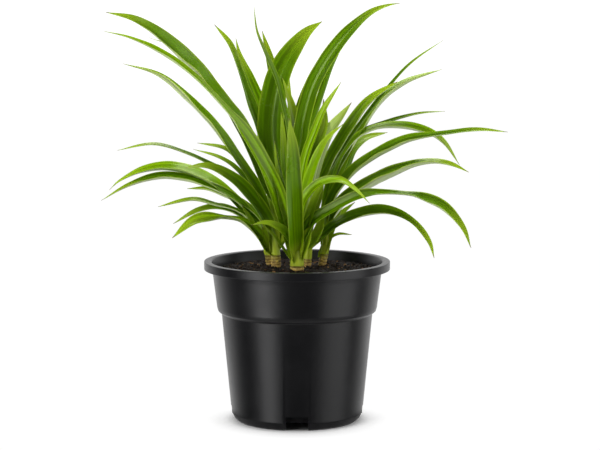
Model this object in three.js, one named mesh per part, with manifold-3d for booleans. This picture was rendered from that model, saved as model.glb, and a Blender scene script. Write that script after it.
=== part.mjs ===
// Potted dracaena: five young plants, each a bare tan cane under a head of long arching leaves,
// standing together in the soil of a black nursery pot. Millimetres, +Z up, +X to the right,
// -Y to the front. The origin is on the pot's axis, on the surface that the pot stands on.
import * as THREE from 'three';
import { mergeVertices } from 'three/addons/utils/BufferGeometryUtils.js';
import Module from 'manifold-3d';

const wasm = await Module();
wasm.setup();

// ---- Driving dimensions ----

const GAP = 0.3; // between pieces that touch
const MERGE_WITHIN = 1e-3; // vertices nearer than this are one

// Pot
const POT_HEIGHT = 163.6;
const RIM_RADIUS = 95;
const RIM_INNER_RADIUS = 88;
const RIM_DROP = 8.4; // height of the skirt that hangs from the rim
const RIM_WALL = 1.6;
const WALL = 2;
const COLLAR_TOP_RADIUS = 85.6;
const COLLAR_BASE_RADIUS = 81.4;
const COLLAR_BASE_HEIGHT = 113;
const BODY_TOP_RADIUS = 76.8;
const BODY_TOP_HEIGHT = 108.6;
const BODY_BASE_RADIUS = 67.1;
const BODY_BASE_HEIGHT = 4.3;
const FOOT_RADIUS = 61;
const FOOT_INNER_RADIUS = 58.4;
const FLOOR_BOTTOM = 8;
const FLOOR_TOP = 10;
const POT_SIDES = 48;
const NOTCHES = 4;
const NOTCH_WIDTH = 23;
const NOTCH_HEIGHT = 15;
const NOTCH_DEPTH_RADIUS = 59.5; // where the recessed face behind a notch stands
const NOTCH_RIB_WIDTH = 2.2;
const NOTCH_RIB_DEPTH = 1.6;
const NOTCH_RIB_OFFSET = 4.4;
const DRAIN_HOLES = 4;
const DRAIN_RADIUS = 6;
const DRAIN_CIRCLE_RADIUS = 44;
const DRAIN_SIDES = 16;

// Soil
const SOIL_EDGE_HEIGHT = 153.6;
const SOIL_CROWN = 1.2; // how much higher the middle is than the edge
const SOIL_RIPPLE = 0.9;
const SOIL_SIDES = 40;
const SOIL_RINGS = 5;

// Canes
const CANE_DEPTH = 38; // how far a cane goes down into the soil
const CANE_SIDES = 8;
const SCAR_STEP = 3.1; // from one leaf scar to the next
const SCAR_HEIGHT = 0.45;

// Leaves
const LEAF_STEP = 28; // along the blade, between its cross sections
const LEAF_MOST_STEPS = 9;
const LEAF_LEAST_STEPS = 5;
const LEAF_THICKNESS = 1.3; // at the rib
const LEAF_EDGE_THICKNESS = 0.7;
const LEAF_FOLD = THREE.MathUtils.degToRad(22); // how far each half of a blade is raised
const LEAF_TIP_WIDTH = 1.3;
const BLADE_CAP = [[0, 1, 2], [0, 2, 5], [5, 2, 3], [5, 3, 4]]; // the two halves of a cross section
const LEAF_BASE_SHARE = 0.8; // width at the base, of the greatest
const LEAF_WIDEST_AT = 0.35;
const LEAF_TAPER = 3.2;
const GOLDEN_ANGLE = THREE.MathUtils.degToRad(137.5); // from one leaf's root round the stem to the next
const ROOT_SPREAD = 1.3;
const ROOT_DROP = 12; // how far below its first point a leaf is rooted on its stem
const STEM_SIDES = 8;
const STEM_STEPS = 6;
const STEM_TIP_RADIUS = 2;
const SLIVER = 0.02; // edges shorter than this are closed up where blades cross

// Places on the plants are laid out as [across, up] in mm on an upright sheet, which stands
// through the pot's axis square to the line of sight from VIEWPOINT to SHEET_MIDDLE. A third
// number, the depth (y), then slides the place along its own line of sight.
const VIEWPOINT = new THREE.Vector3(3, -1902, 420.6);
const SHEET_MIDDLE = new THREE.Vector3(3, 0, 200);

// ---- The five plants: where the cane stands, and the leaves ----
// cane: [across, up] where it enters the soil and where its leaves begin.
// stem: the green stem that the leaves clasp, from there to its top.
// leaves: width, depth of the tip, face angles from base to tip, line from base to tip.
// A face angle is 0 with the blade's upper side up, 90 with it to the front, -90 to the back.

const PLANTS = {
  front: {
    depth: -12,
    caneRadius: 6.8,
    cane: [[0, -47], [0, -41]],
    stem: [[0, -41], [-1, -10], [-3, 34]],
    leaves: [
      [19, -62, [50, 35, 15, 35, 60, 60, 55], [[-5.1, -9.2], [-24, 47.9], [-46.9, 91.8],
        [-79, 135.2], [-104.9, 164.6], [-135.4, 192.2], [-165.2, 210.7], [-195.3, 217.3]]],
      [19, -96, [75, 70, 50, 8, 25, 20], [[-4.1, -21.4], [-11.2, 2.5], [-22.4, 40.3],
        [-45.9, 85.7], [-79.6, 128.2], [-109.7, 156.3], [-140.8, 177.5], [-170.3, 191.5],
        [-197.4, 197.9]]],
      [9, -40, [50, 40, 20], [[-8, 5], [-30, 34], [-56, 91], [-80, 129], [-108, 156]]],
      [8, -14, [-30, -40, -30], [[-10.2, 20.4], [-36.7, 68.3], [-59.2, 111.2], [-88.7, 149.9],
        [-117.3, 178.5], [-151, 191.2]]],
      [16, 50, [45, 60, 35, 20, 50], [[-8.2, 20.4], [-24.2, 61.2], [-40.3, 103], [-50.5, 129.5],
        [-59.7, 162.2], [-67, 185.6], [-84.7, 205]]],
      [17, 95, [60, 70, 50], [[-6.1, 20.4], [-23.5, 66.3], [-36.7, 116.3], [-50, 151],
        [-59.5, 175.4], [-62.5, 190.7]]],
      [7, -52, [60, 60, 40], [[-4, 25], [-8, 97], [-14, 124], [-20, 148], [-33, 178], [-41, 198],
        [-44, 223]]],
      [12, 62, [60, 70, 60], [[-6.1, 36.7], [-18.4, 87.7], [-23.5, 138.7], [-27.5, 168.3],
        [-35.7, 198.9]]],
      [27, 45, [60, 75, 75, 70], [[-6.1, 17.3], [-23.5, 68.3], [-28.1, 102], [-25, 131.6],
        [-16.3, 157.6], [-5.6, 177.5], [9.7, 196.9], [25, 207.8]]],
      [13, -8, [60, 70, 70], [[-1, -7.1], [1, 46.9], [-2, 107.1], [-10.2, 136.7], [-15.3, 151]]],
      [8, 85, [60, 60, 60], [[-3, 36], [-7, 112], [-8, 140], [-8, 153]]],
      [19, -118, [70, 75, 60], [[-1, -21.4], [-2.5, 10.2], [-3.6, 40.8], [-5.1, 76.5],
        [-8.2, 109.1]]],
      [9, -34, [60, 60, 60], [[-4.1, 20.4], [-12.2, 56.1], [-14.3, 87.7], [-16.3, 115.3]]],
      [5, -30, [60, 60, 60], [[-5, 16], [-20, 56], [-23, 86]]],
      [9, 70, [60, 60, 50], [[0, 26], [-1, 105], [2, 120], [13, 150], [26, 172]]],
      [19, -20, [65, 65, 60, 60, 40], [[0, -13.3], [1, 20.4], [3.1, 77.5], [7.7, 107.1],
        [16.8, 140.8], [32.3, 170.6], [51.6, 196.7], [75.5, 216.2], [105.1, 226.6]]],
      [10, 85, [40, 45, 40], [[1, 34.7], [9.2, 86.7], [19.4, 117.3], [38.8, 171.4],
        [56.1, 200.4], [77.5, 216.2]]],
      [10, -60, [60, 70, 60], [[0, 20.4], [8.2, 69.4], [17.9, 95.9], [27.5, 118.8], [44.9, 145.9]]],
      [13, -6, [60, 60, 60], [[3.1, 30.6], [17.3, 76.5], [26, 102], [25, 129.5]]],
      [12, -80, [55, 60, 40], [[2, 4], [11, 44], [19, 67], [30, 87], [47, 103]]],
      [12, -84, [70, 60, 50, 30], [[2, -22], [3, 12], [7, 27], [23, 43], [44, 46], [61, 35],
        [74, 22]]],
      [11, -30, [60, 60, 50], [[4, -18], [10, 3], [20, 30], [31, 50]]],
      [17, -72, [55, 50, 40, 12, 60, 60], [[2, -19.4], [14.3, 3.6], [32.6, 15.3], [61.2, 29.6],
        [91.8, 33.1], [122.4, 30.1], [148.6, 20.1], [169, -2.3], [177.2, -23.5]]],
      [10, 104, [70, 60, 50], [[-2, 20], [-2, 70], [-4, 102], [-6, 112], [-8, 104]]],
      [10, 112, [70, 60, 50], [[0, 24], [3, 80], [8, 112], [11, 122], [14, 116]]],
      [12, -58, [60, 50, 20], [[0, -35.7], [-4.1, -18.4], [-16.3, -4.1], [-31.6, 2], [-46.9, 0]]],
      [6, -28, [30, 30, 30], [[-3, -38], [-10, -30], [-21, -14], [-34, 0]]],
      [12, -14, [60, 60, 60], [[5.1, -25.5], [16.3, -15.3], [23.5, -1], [26.5, 19.4]]],
    ],
  },
  left: {
    depth: 10,
    caneRadius: 4.8,
    cane: [[-21, -44], [-22, -30]],
    stem: [[-22, -30], [-25, -10], [-31, 14]],
    leaves: [
      [14, -6, [-20, -45, -45, -35], [[-25.5, -21.4], [-29.6, 7.1], [-39.8, 35.2], [-54.8, 58.6],
        [-81.3, 96.7], [-110.2, 128.5], [-141.3, 153.7], [-178, 164.5]]],
      [8, 6, [30, 35, 30], [[-29.6, 3.1], [-44.9, 41.8], [-60.2, 67.8], [-73.4, 78.5],
        [-102, 84.2]]],
      [8, 12, [30, 40, 30], [[-29.6, 5.1], [-44.9, 35.7], [-60.2, 56.1], [-77.5, 68.3],
        [-106.1, 77.5]]],
      [9, 4, [35, 35, 15, 30], [[-30.6, 8.2], [-58.1, 43.9], [-83.6, 59.5], [-109.1, 72.4],
        [-145.9, 82.6], [-182.6, 76.5]]],
      [16, -22, [50, 45, 30], [[-25.5, -5.1], [-42.8, 24.5], [-62.2, 45.4], [-82.6, 57.1],
        [-95.9, 60.4], [-114.2, 58.1]]],
      [16, -34, [60, 45, 14, 70, 60], [[-26.5, -21.4], [-40.8, -9.2], [-58.1, 2.5], [-83.6, 6.1],
        [-103, 5.1], [-127.5, -13.3]]],
      [11, 2, [40, 30, 30], [[-28.6, -27.5], [-36.7, -12.2], [-46.4, 3.1], [-56.1, 19.4]]],
    ],
  },
  left_back: {
    depth: 26,
    caneRadius: 4,
    cane: [[-27, -42], [-29, -30]],
    stem: [[-29, -30], [-33, -14], [-39, 3]],
    leaves: [
      [13, 80, [50, 50, 60, 30], [[-36.7, -8.2], [-55.1, 17.3], [-77.5, 38.8], [-102, 52.5],
        [-130.6, 60.5], [-158.1, 57.1], [-182.6, 44.9], [-192.8, 35.7]]],
      [11, 70, [35, 45, 55, 30], [[-37.7, -2], [-58.1, 22.9], [-79, 35.7], [-109.1, 46.3],
        [-140, 50.2], [-170.3, 41.5], [-199.9, 25]]],
      [9.5, 60, [40, 40, 40], [[-34.7, 4.1], [-53, 21.9], [-72.4, 31.1], [-91.8, 37.2],
        [-111.2, 37.2]]],
      [8, 36, [40, 20, 40], [[-36.7, -6.1], [-60.2, 14.3], [-83.6, 20.6], [-106.1, 26.5],
        [-140.8, 19.4]]],
      [10.5, 50, [40, 40, 40], [[-35.7, -8.2], [-58.1, 11.7], [-77.5, 20], [-97.9, 17.9],
        [-125.5, 2]]],
      [10, 108, [70, 60, 50], [[-32, -4], [-26, 34], [-20, 58], [-14, 60], [-8, 48]]],
      [9, 96, [70, 60, 50], [[-32.6, 6.1], [-44.9, 29.6], [-52, 41.8], [-58.1, 47.9]]],
    ],
  },
  right_back: {
    depth: 15,
    caneRadius: 3.6,
    cane: [[11, -42], [11, -34]],
    stem: [[11, -34], [13, -10], [13, 24]],
    leaves: [
      [8, 12, [40, 40, 30], [[14.3, 24.5], [35.7, 61.2], [57.6, 94.4], [89.2, 136.4],
        [114.8, 164.9], [148.9, 188.2]]],
      [13, 2, [50, 60, 60], [[14.3, 22.4], [32.6, 65.8], [51.5, 100], [74.5, 129], [103, 145.9]]],
      [13, -14, [-60, -70, -60], [[12.2, 20.4], [18.4, 58.1], [31.6, 94.9], [43.9, 111.7],
        [56.1, 126]]],
      [9, 60, [40, 50, 50], [[12, 28], [13, 74], [24, 94], [45, 113]]],
      [6, 6, [50, 50, 50], [[14, 20], [26, 66], [31, 79]]],
      [10, 116, [70, 60, 50], [[13, 10], [12, 50], [10, 72], [10, 76], [10, 62]]],
      [9, 96, [70, 60, 50], [[12, 14], [6, 54], [0, 74], [-4, 77], [-8, 67]]],
      [14, -26, [50, 50, 55, 35, 60], [[11.2, -24.5], [22.4, -12.2], [40.8, 2], [63.2, 11.9],
        [89.8, 15.3], [116.3, 5.4], [135.4, -15.3], [140.2, -33.7]]],
    ],
  },
  right: {
    depth: 24,
    caneRadius: 3.9,
    cane: [[25, -42], [28, -29]],
    stem: [[28, -29], [30, -10], [29, 18]],
    leaves: [
      [11, 80, [-40, -45, -40], [[29.6, 20.4], [37.7, 51], [50, 73.4], [64.8, 97.9],
        [85.2, 127.5], [109.7, 145.6], [147.9, 158.1]]],
      [13, 55, [60, 55, 30, 60, 50], [[28.6, 14.3], [38.8, 60.2], [53, 82.6], [73.4, 96.9],
        [103, 102], [133.6, 95.9], [149.9, 84.7], [165.8, 61.2]]],
      [6, 75, [40, 40, 40], [[30, 18], [47.9, 77.5], [64.3, 94.9], [92.8, 106.6], [125.5, 115.3],
        [151, 116.8]]],
      [13, 90, [40, 40, 40], [[29.6, 15.3], [50, 58.1], [57.6, 77.5], [69.4, 88.4], [91.8, 94.9]]],
      [8, 50, [60, 60, 60], [[29, 4], [39, 39], [51, 68], [61, 86]]],
      [13, -34, [50, 50, 50, 25, 40], [[28.6, 3.6], [36.7, 30.6], [54.6, 53.8], [82.9, 74],
        [111.5, 87.2], [143.8, 92.3], [184.6, 97.2], [215.2, 94.7]]],
      [16, -6, [50, 50, 55, 30, 40], [[29.6, 1.5], [46.9, 28.6], [73.4, 43.9], [104, 56.3],
        [135.7, 64.3], [157.1, 62.2], [175.4, 53.6]]],
      [5, 20, [40, 40, 40], [[24.5, -28.6], [28.6, -18.4], [40.8, -9.5], [56.1, -9.8]]],
      [8, 46, [60, 55, 50], [[28.6, -23.5], [34.7, -7.1], [43.9, 10.2], [59.2, 23.5]]],
      [10, 96, [70, 60, 50], [[30.6, 0], [32.6, 25.5], [34.7, 41.8], [37.7, 47.9]]],
      [10, 114, [70, 60, 50], [[29.6, 8.2], [34.7, 39.8], [39.8, 54.1], [43.9, 56.1]]],
      [12, 38, [50, 40, 40], [[29.6, -27.5], [33.7, -11.2], [38.8, 3.1], [45.9, 19.4]]],
    ],
  },
};

// ---- Helpers ----

const sheetNormal = VIEWPOINT.clone().sub(SHEET_MIDDLE).normalize();
const sheetAcross = new THREE.Vector3(1, 0, 0);
const sheetUp = new THREE.Vector3().crossVectors(sheetNormal, sheetAcross);

function place([across, up], depth) {
  const onSheet = SHEET_MIDDLE.clone().setX(0);
  onSheet.addScaledVector(sheetAcross, across);
  onSheet.addScaledVector(sheetUp, up);
  const sight = onSheet.sub(VIEWPOINT);
  return VIEWPOINT.clone().addScaledVector(sight, (depth - VIEWPOINT.y) / sight.y);
}

function alongList(values, t) {
  const at = Math.min(t, 0.9999) * (values.length - 1);
  const i = Math.floor(at);
  return THREE.MathUtils.lerp(values[i], values[i + 1], THREE.MathUtils.smoothstep(at - i, 0, 1));
}

// A closed skin over rings of equally many points, capped at both ends.
function loft(rings, cap) {
  const sides = rings[0].length;
  const positions = rings.flat().flatMap((p) => [p.x, p.y, p.z]);
  const index = [];
  for (let i = 0; i < rings.length - 1; i += 1) {
    for (let j = 0; j < sides; j += 1) {
      const a = i * sides + j;
      const b = i * sides + ((j + 1) % sides);
      index.push(a, b, b + sides, a, b + sides, a + sides);
    }
  }
  const last = (rings.length - 1) * sides;
  for (const [a, b, c] of cap) {
    index.push(a, c, b);
    index.push(last + a, last + b, last + c);
  }
  const geometry = new THREE.BufferGeometry();
  geometry.setAttribute('position', new THREE.Float32BufferAttribute(positions, 3));
  geometry.setIndex(index);
  return geometry;
}

function fan(sides) {
  return Array.from({ length: sides - 2 }, (_, j) => [0, j + 1, j + 2]);
}

function toSolid(geometry) {
  const bare = geometry.clone();
  bare.deleteAttribute('normal');
  bare.deleteAttribute('uv');
  const merged = mergeVertices(bare, MERGE_WITHIN);
  return new wasm.Manifold(new wasm.Mesh({
    numProp: 3,
    vertProperties: new Float32Array(merged.attributes.position.array),
    triVerts: new Uint32Array(merged.index.array),
  }));
}

function toGeometry(solid) {
  const mesh = solid.getMesh();
  const geometry = new THREE.BufferGeometry();
  geometry.setAttribute('position', new THREE.Float32BufferAttribute(mesh.vertProperties, 3));
  geometry.setIndex(new THREE.Uint32BufferAttribute(mesh.triVerts, 1));
  geometry.computeVertexNormals();
  return geometry;
}

function unionOf(solids) {
  return solids.reduce((joined, solid) => joined.add(solid));
}

// Closes up the shortest edges, with the triangles that fold flat when they go.
function withoutSlivers(solid) {
  const merged = mergeVertices(toGeometry(solid).deleteAttribute('normal'), SLIVER);
  const corners = Array.from(merged.index.array);
  const kept = [];
  for (let i = 0; i < corners.length; i += 3) {
    const [a, b, c] = corners.slice(i, i + 3);
    if (a !== b && b !== c && c !== a) kept.push(a, b, c);
  }
  return toSolid(merged.setIndex(kept));
}

// Drops the specks and sealed slivers that many crossing blades leave behind.
function largestBody(solid) {
  return solid.decompose().reduce((largest, body) => (body.volume() > largest.volume() ? body : largest));
}

function turned(profile, sides) {
  const points = profile.map(([radius, height]) => new THREE.Vector2(radius, height));
  const geometry = new THREE.LatheGeometry(points, sides);
  return geometry.rotateX(Math.PI / 2);
}

function box(width, depth, height, x, y, z) {
  return new THREE.BoxGeometry(width, depth, height).translate(x, y, z);
}

function around(geometry, count, startAngle) {
  const copies = [];
  for (let i = 0; i < count; i += 1) {
    copies.push(toSolid(geometry.clone().rotateZ(startAngle + (i * 2 * Math.PI) / count)));
  }
  return copies;
}

// ---- Pot ----

// The inside of the wall from the floor up, which the soil follows.
const POT_INSIDE = [
  [BODY_BASE_RADIUS - WALL + 0.6, FLOOR_TOP],
  [BODY_TOP_RADIUS - WALL, BODY_TOP_HEIGHT - 0.6],
  [COLLAR_BASE_RADIUS - WALL, COLLAR_BASE_HEIGHT + 2],
  [COLLAR_TOP_RADIUS - WALL, 150],
];

function potProfile() {
  return [
    [0, FLOOR_BOTTOM],
    [BODY_BASE_RADIUS - WALL, FLOOR_BOTTOM],
    [BODY_BASE_RADIUS - WALL - 0.3, BODY_BASE_HEIGHT + 1],
    [FOOT_INNER_RADIUS, 0],
    [FOOT_RADIUS, 0],
    [FOOT_RADIUS + 3.4, 1.3],
    [BODY_BASE_RADIUS, BODY_BASE_HEIGHT],
    [BODY_TOP_RADIUS, BODY_TOP_HEIGHT],
    [BODY_TOP_RADIUS + 1.6, BODY_TOP_HEIGHT + 0.9],
    [COLLAR_BASE_RADIUS - 1, COLLAR_BASE_HEIGHT - 2],
    [COLLAR_BASE_RADIUS, COLLAR_BASE_HEIGHT + 0.8],
    [COLLAR_TOP_RADIUS, 150],
    [COLLAR_TOP_RADIUS + 1.2, 156],
    [RIM_INNER_RADIUS + 0.4, POT_HEIGHT - 2],
    [RIM_RADIUS - RIM_WALL, POT_HEIGHT - 2],
    [RIM_RADIUS - RIM_WALL, POT_HEIGHT - RIM_DROP],
    [RIM_RADIUS, POT_HEIGHT - RIM_DROP],
    [RIM_RADIUS, POT_HEIGHT - 0.8],
    [RIM_RADIUS - 0.8, POT_HEIGHT],
    [RIM_INNER_RADIUS + 0.6, POT_HEIGHT],
    [RIM_INNER_RADIUS - 0.6, POT_HEIGHT - 0.7],
    [COLLAR_TOP_RADIUS - WALL + 1.3, 156.4],
    ...POT_INSIDE.slice().reverse(),
    [0, FLOOR_TOP],
  ];
}

// The hollow box that closes a notch on the inside, and the soil makes way for.
function notchHousing(margin) {
  const outer = BODY_BASE_RADIUS - 1;
  const inner = NOTCH_DEPTH_RADIUS - WALL - margin;
  const height = NOTCH_HEIGHT + WALL + margin - FLOOR_BOTTOM;
  const width = NOTCH_WIDTH + 2 * (WALL + margin);
  return box(width, outer - inner, height, 0, -(outer + inner) / 2, FLOOR_BOTTOM + height / 2);
}

function notchRib(side) {
  const depth = NOTCH_RIB_DEPTH + 0.5;
  const height = NOTCH_HEIGHT - FLOOR_BOTTOM + 1;
  const y = -(NOTCH_DEPTH_RADIUS - 0.5 + depth / 2);
  return box(NOTCH_RIB_WIDTH, depth, height, side * NOTCH_RIB_OFFSET, y, FLOOR_BOTTOM + height / 2);
}

function makePot() {
  const notchReach = RIM_RADIUS - NOTCH_DEPTH_RADIUS;
  const cut = box(NOTCH_WIDTH, notchReach, NOTCH_HEIGHT + 5, 0, -(NOTCH_DEPTH_RADIUS + notchReach / 2),
    NOTCH_HEIGHT - (NOTCH_HEIGHT + 5) / 2);
  const underCut = box(NOTCH_WIDTH, 8, FLOOR_BOTTOM + 5, 0, -NOTCH_DEPTH_RADIUS, (FLOOR_BOTTOM - 5) / 2);
  const drain = new THREE.CylinderGeometry(DRAIN_RADIUS, DRAIN_RADIUS, 12, DRAIN_SIDES);
  drain.rotateX(Math.PI / 2).translate(DRAIN_CIRCLE_RADIUS, 0, FLOOR_TOP);
  let pot = toSolid(turned(potProfile(), POT_SIDES));
  for (const housing of around(notchHousing(0), NOTCHES, 0)) pot = pot.add(housing);
  for (const opening of around(cut, NOTCHES, 0)) pot = pot.subtract(opening);
  for (const opening of around(underCut, NOTCHES, 0)) pot = pot.subtract(opening);
  for (const side of [-1, 1]) {
    for (const rib of around(notchRib(side), NOTCHES, 0)) pot = pot.add(rib);
  }
  for (const hole of around(drain, DRAIN_HOLES, Math.PI / 4)) pot = pot.subtract(hole);
  return pot;
}

// ---- Canes ----

function caneAxis(plant, startDrop, endLift) {
  const soilPoint = place(plant.cane[0], plant.depth);
  const topPoint = place(plant.cane[1], plant.depth);
  const direction = topPoint.clone().sub(soilPoint).normalize();
  return [soilPoint.addScaledVector(direction, -startDrop), topPoint.addScaledVector(direction, endLift)];
}

function rod(from, to, radii, sides) {
  const axis = to.clone().sub(from).normalize();
  const side = new THREE.Vector3(1, 0, 0).cross(axis).normalize();
  const other = axis.clone().cross(side);
  const rings = radii.map(([share, radius]) => {
    const middle = from.clone().lerp(to, share);
    return Array.from({ length: sides }, (_, j) => {
      const angle = (j * 2 * Math.PI) / sides;
      return middle.clone()
        .addScaledVector(side, radius * Math.cos(angle))
        .addScaledVector(other, radius * Math.sin(angle));
    });
  });
  return loft(rings, fan(sides));
}

function makeCane(plant) {
  const [from, to] = caneAxis(plant, CANE_DEPTH, -GAP);
  const length = from.distanceTo(to);
  const radii = [[0, plant.caneRadius]];
  const bareLength = length - CANE_DEPTH + SCAR_STEP;
  const scars = Math.max(2, Math.round(bareLength / SCAR_STEP));
  for (let i = 0; i < scars; i += 1) {
    const low = 1 - (bareLength * (scars - i)) / (scars * length);
    const step = bareLength / (scars * length);
    radii.push([low, plant.caneRadius], [low + 0.55 * step, plant.caneRadius + SCAR_HEIGHT]);
    radii.push([low + 0.75 * step, plant.caneRadius - 0.1]);
  }
  radii.push([1, plant.caneRadius - 0.2]);
  return rod(from, to, radii, CANE_SIDES);
}

function caneHole(plant) {
  const [from, to] = caneAxis(plant, CANE_DEPTH + GAP, 10);
  const radius = plant.caneRadius + SCAR_HEIGHT + GAP;
  return toSolid(rod(from, to, [[0, radius], [1, radius]], CANE_SIDES));
}

// ---- Soil ----

function makeSoil() {
  const wall = POT_INSIDE.map(([radius, height]) => [radius - GAP, height]);
  wall[0][1] = FLOOR_TOP + GAP;
  const edgeRadius = wall[wall.length - 1][0] + 0.1;
  const top = Array.from({ length: SOIL_RINGS + 1 }, (_, i) => {
    const radius = edgeRadius * (1 - i / SOIL_RINGS);
    return [radius, SOIL_EDGE_HEIGHT + SOIL_CROWN * THREE.MathUtils.smoothstep(i, 0, SOIL_RINGS)];
  });
  const geometry = turned([[0, FLOOR_TOP + GAP], ...wall, ...top], SOIL_SIDES);
  const position = geometry.attributes.position;
  for (let i = 0; i < position.count; i += 1) {
    const x = position.getX(i);
    const y = position.getY(i);
    const fromEdge = THREE.MathUtils.smoothstep(82 - Math.hypot(x, y), 0, 14);
    const ripple = Math.sin(x * 0.19 + 1) * Math.cos(y * 0.23) + 0.6 * Math.sin(x * 0.41 + y * 0.37);
    if (position.getZ(i) > 152) position.setZ(i, position.getZ(i) + SOIL_RIPPLE * fromEdge * ripple);
  }
  let soil = toSolid(geometry);
  for (const housing of around(notchHousing(GAP), NOTCHES, 0)) soil = soil.subtract(housing);
  for (const plant of Object.values(PLANTS)) soil = soil.subtract(caneHole(plant));
  return soil;
}

// ---- Leaves ----

function leafLine(plant, tipDepth, points, turn) {
  const stemFoot = plant.stem[0];
  const stemTop = plant.stem[plant.stem.length - 1];
  const rootUp = Math.max(points[0][1] - ROOT_DROP, stemFoot[1] + 1);
  const climb = THREE.MathUtils.clamp((rootUp - stemFoot[1]) / (stemTop[1] - stemFoot[1]), 0, 0.95);
  const rootAcross = THREE.MathUtils.lerp(stemFoot[0], stemTop[0], climb);
  const sheetPoints = [[rootAcross, rootUp], ...points];
  const lengths = [0];
  for (let i = 1; i < sheetPoints.length; i += 1) {
    const [dx, dy] = [sheetPoints[i][0] - sheetPoints[i - 1][0], sheetPoints[i][1] - sheetPoints[i - 1][1]];
    lengths.push(lengths[i - 1] + Math.hypot(dx, dy));
  }
  const whole = lengths[lengths.length - 1];
  const placed = sheetPoints.map((point, i) => {
    return place(point, THREE.MathUtils.lerp(plant.depth, tipDepth, lengths[i] / whole));
  });
  placed[0].add(new THREE.Vector3(ROOT_SPREAD * Math.cos(turn), ROOT_SPREAD * Math.sin(turn), 0));
  return new THREE.CatmullRomCurve3(placed, false, 'centripetal');
}

function leafWidth(width, t) {
  const rise = THREE.MathUtils.smoothstep(t, 0, LEAF_WIDEST_AT);
  const fall = Math.max(0, (t - LEAF_WIDEST_AT) / (1 - LEAF_WIDEST_AT)) ** LEAF_TAPER;
  const share = THREE.MathUtils.lerp(LEAF_BASE_SHARE, 1, rise) * (1 - fall);
  return Math.max(width * share, LEAF_TIP_WIDTH);
}

// The direction in which the blade's upper side faces, for a face angle at a place on its line.
function upperSide(point, tangent, lean, faceAngle) {
  const sight = VIEWPOINT.clone().sub(point).normalize();
  const upward = tangent.clone().cross(sight).normalize().multiplyScalar(-lean);
  const forward = sight.addScaledVector(tangent, -sight.dot(tangent)).normalize();
  const angle = THREE.MathUtils.degToRad(faceAngle);
  return upward.multiplyScalar(Math.cos(angle)).addScaledVector(forward, Math.sin(angle));
}

function makeLeaf(plant, [width, tipDepth, faceAngles, points], turn) {
  const line = leafLine(plant, tipDepth, points, turn);
  const lean = Math.sign(points[points.length - 1][0] - plant.stem[0][0]);
  const rings = [];
  const wanted = Math.round(line.getLength() / LEAF_STEP);
  const steps = THREE.MathUtils.clamp(wanted, LEAF_LEAST_STEPS, LEAF_MOST_STEPS);
  for (let i = 0; i <= steps; i += 1) {
    const t = i / steps;
    const middle = line.getPointAt(t);
    const tangent = line.getTangentAt(t);
    const upper = upperSide(middle, tangent, lean, alongList(faceAngles, t));
    const across = upper.clone().cross(tangent);
    const half = leafWidth(width, t) / 2;
    const out = half * Math.cos(LEAF_FOLD);
    const rise = (half * Math.sin(LEAF_FOLD)) / 2;
    const ribHalf = Math.min(LEAF_THICKNESS, half) / 2;
    const edgeHalf = Math.min(LEAF_EDGE_THICKNESS, half) / 2;
    const at = (side, height) => middle.clone().addScaledVector(across, side).addScaledVector(upper, height);
    rings.push([
      at(-out, rise + edgeHalf), at(-out, rise - edgeHalf), at(0, -rise - ribHalf),
      at(out, rise - edgeHalf), at(out, rise + edgeHalf), at(0, ribHalf - rise),
    ]);
  }
  return loft(rings, BLADE_CAP);
}

function makeStem(plant) {
  const points = plant.stem.map((point) => place(point, plant.depth));
  const line = new THREE.CatmullRomCurve3(points);
  const rings = [];
  for (let i = 0; i <= STEM_STEPS; i += 1) {
    const t = i / STEM_STEPS;
    const middle = line.getPoint(t);
    const radius = THREE.MathUtils.lerp(plant.caneRadius + 0.4, STEM_TIP_RADIUS, t ** 1.3);
    rings.push(Array.from({ length: STEM_SIDES }, (_, j) => {
      const angle = (j * 2 * Math.PI) / STEM_SIDES;
      return middle.clone().add(new THREE.Vector3(radius * Math.cos(angle), radius * Math.sin(angle), 0));
    }));
  }
  return loft(rings, fan(STEM_SIDES));
}

function makeHead(plant) {
  const solids = [toSolid(makeStem(plant))];
  plant.leaves.forEach((leaf, i) => solids.push(toSolid(makeLeaf(plant, leaf, i * GOLDEN_ANGLE))));
  const [from, to] = caneAxis(plant, 0, 0);
  const trim = rod(from, to, [[0, plant.caneRadius + 3], [1, plant.caneRadius + 3]], CANE_SIDES);
  return largestBody(withoutSlivers(unionOf(solids).subtract(toSolid(trim))));
}

// ---- The object ----

const group = new THREE.Group();

function addMesh(name, geometry, material) {
  const mesh = new THREE.Mesh(geometry, material);
  mesh.name = name;
  group.add(mesh);
}

const potPlastic = new THREE.MeshStandardMaterial({ color: 0x26262a, roughness: 0.5, metalness: 0 });
const pottingSoil = new THREE.MeshStandardMaterial({ color: 0x2b1d14, roughness: 1, metalness: 0 });
addMesh('pot', toGeometry(makePot()), potPlastic);
addMesh('soil', toGeometry(makeSoil()), pottingSoil);
for (const [name, plant] of Object.entries(PLANTS)) {
  const caneSkin = new THREE.MeshStandardMaterial({ color: 0xb59a55, roughness: 0.75, metalness: 0 });
  const leafSkin = new THREE.MeshStandardMaterial({ color: 0x4c7a14, roughness: 0.4, metalness: 0 });
  addMesh(`cane_${name}`, toGeometry(toSolid(makeCane(plant))), caneSkin);
  addMesh(`leaves_${name}`, toGeometry(makeHead(plant)), leafSkin);
}

export default group;
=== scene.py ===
# %% [markdown]
# # A potted dracaena
# Five young dracaenas stand together in one black nursery pot. Each is a short bare cane,
# ringed by the scars of old leaves, under a head of long arching leaves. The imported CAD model
# gives every size. This script dresses it: each CAD node is replaced by a finer piece of the
# same form, and each piece gets a material that is worked out by nodes.

# %% Load the frame
import math
import random

import bmesh
import bpy
import numpy as np
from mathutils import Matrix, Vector, noise


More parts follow.
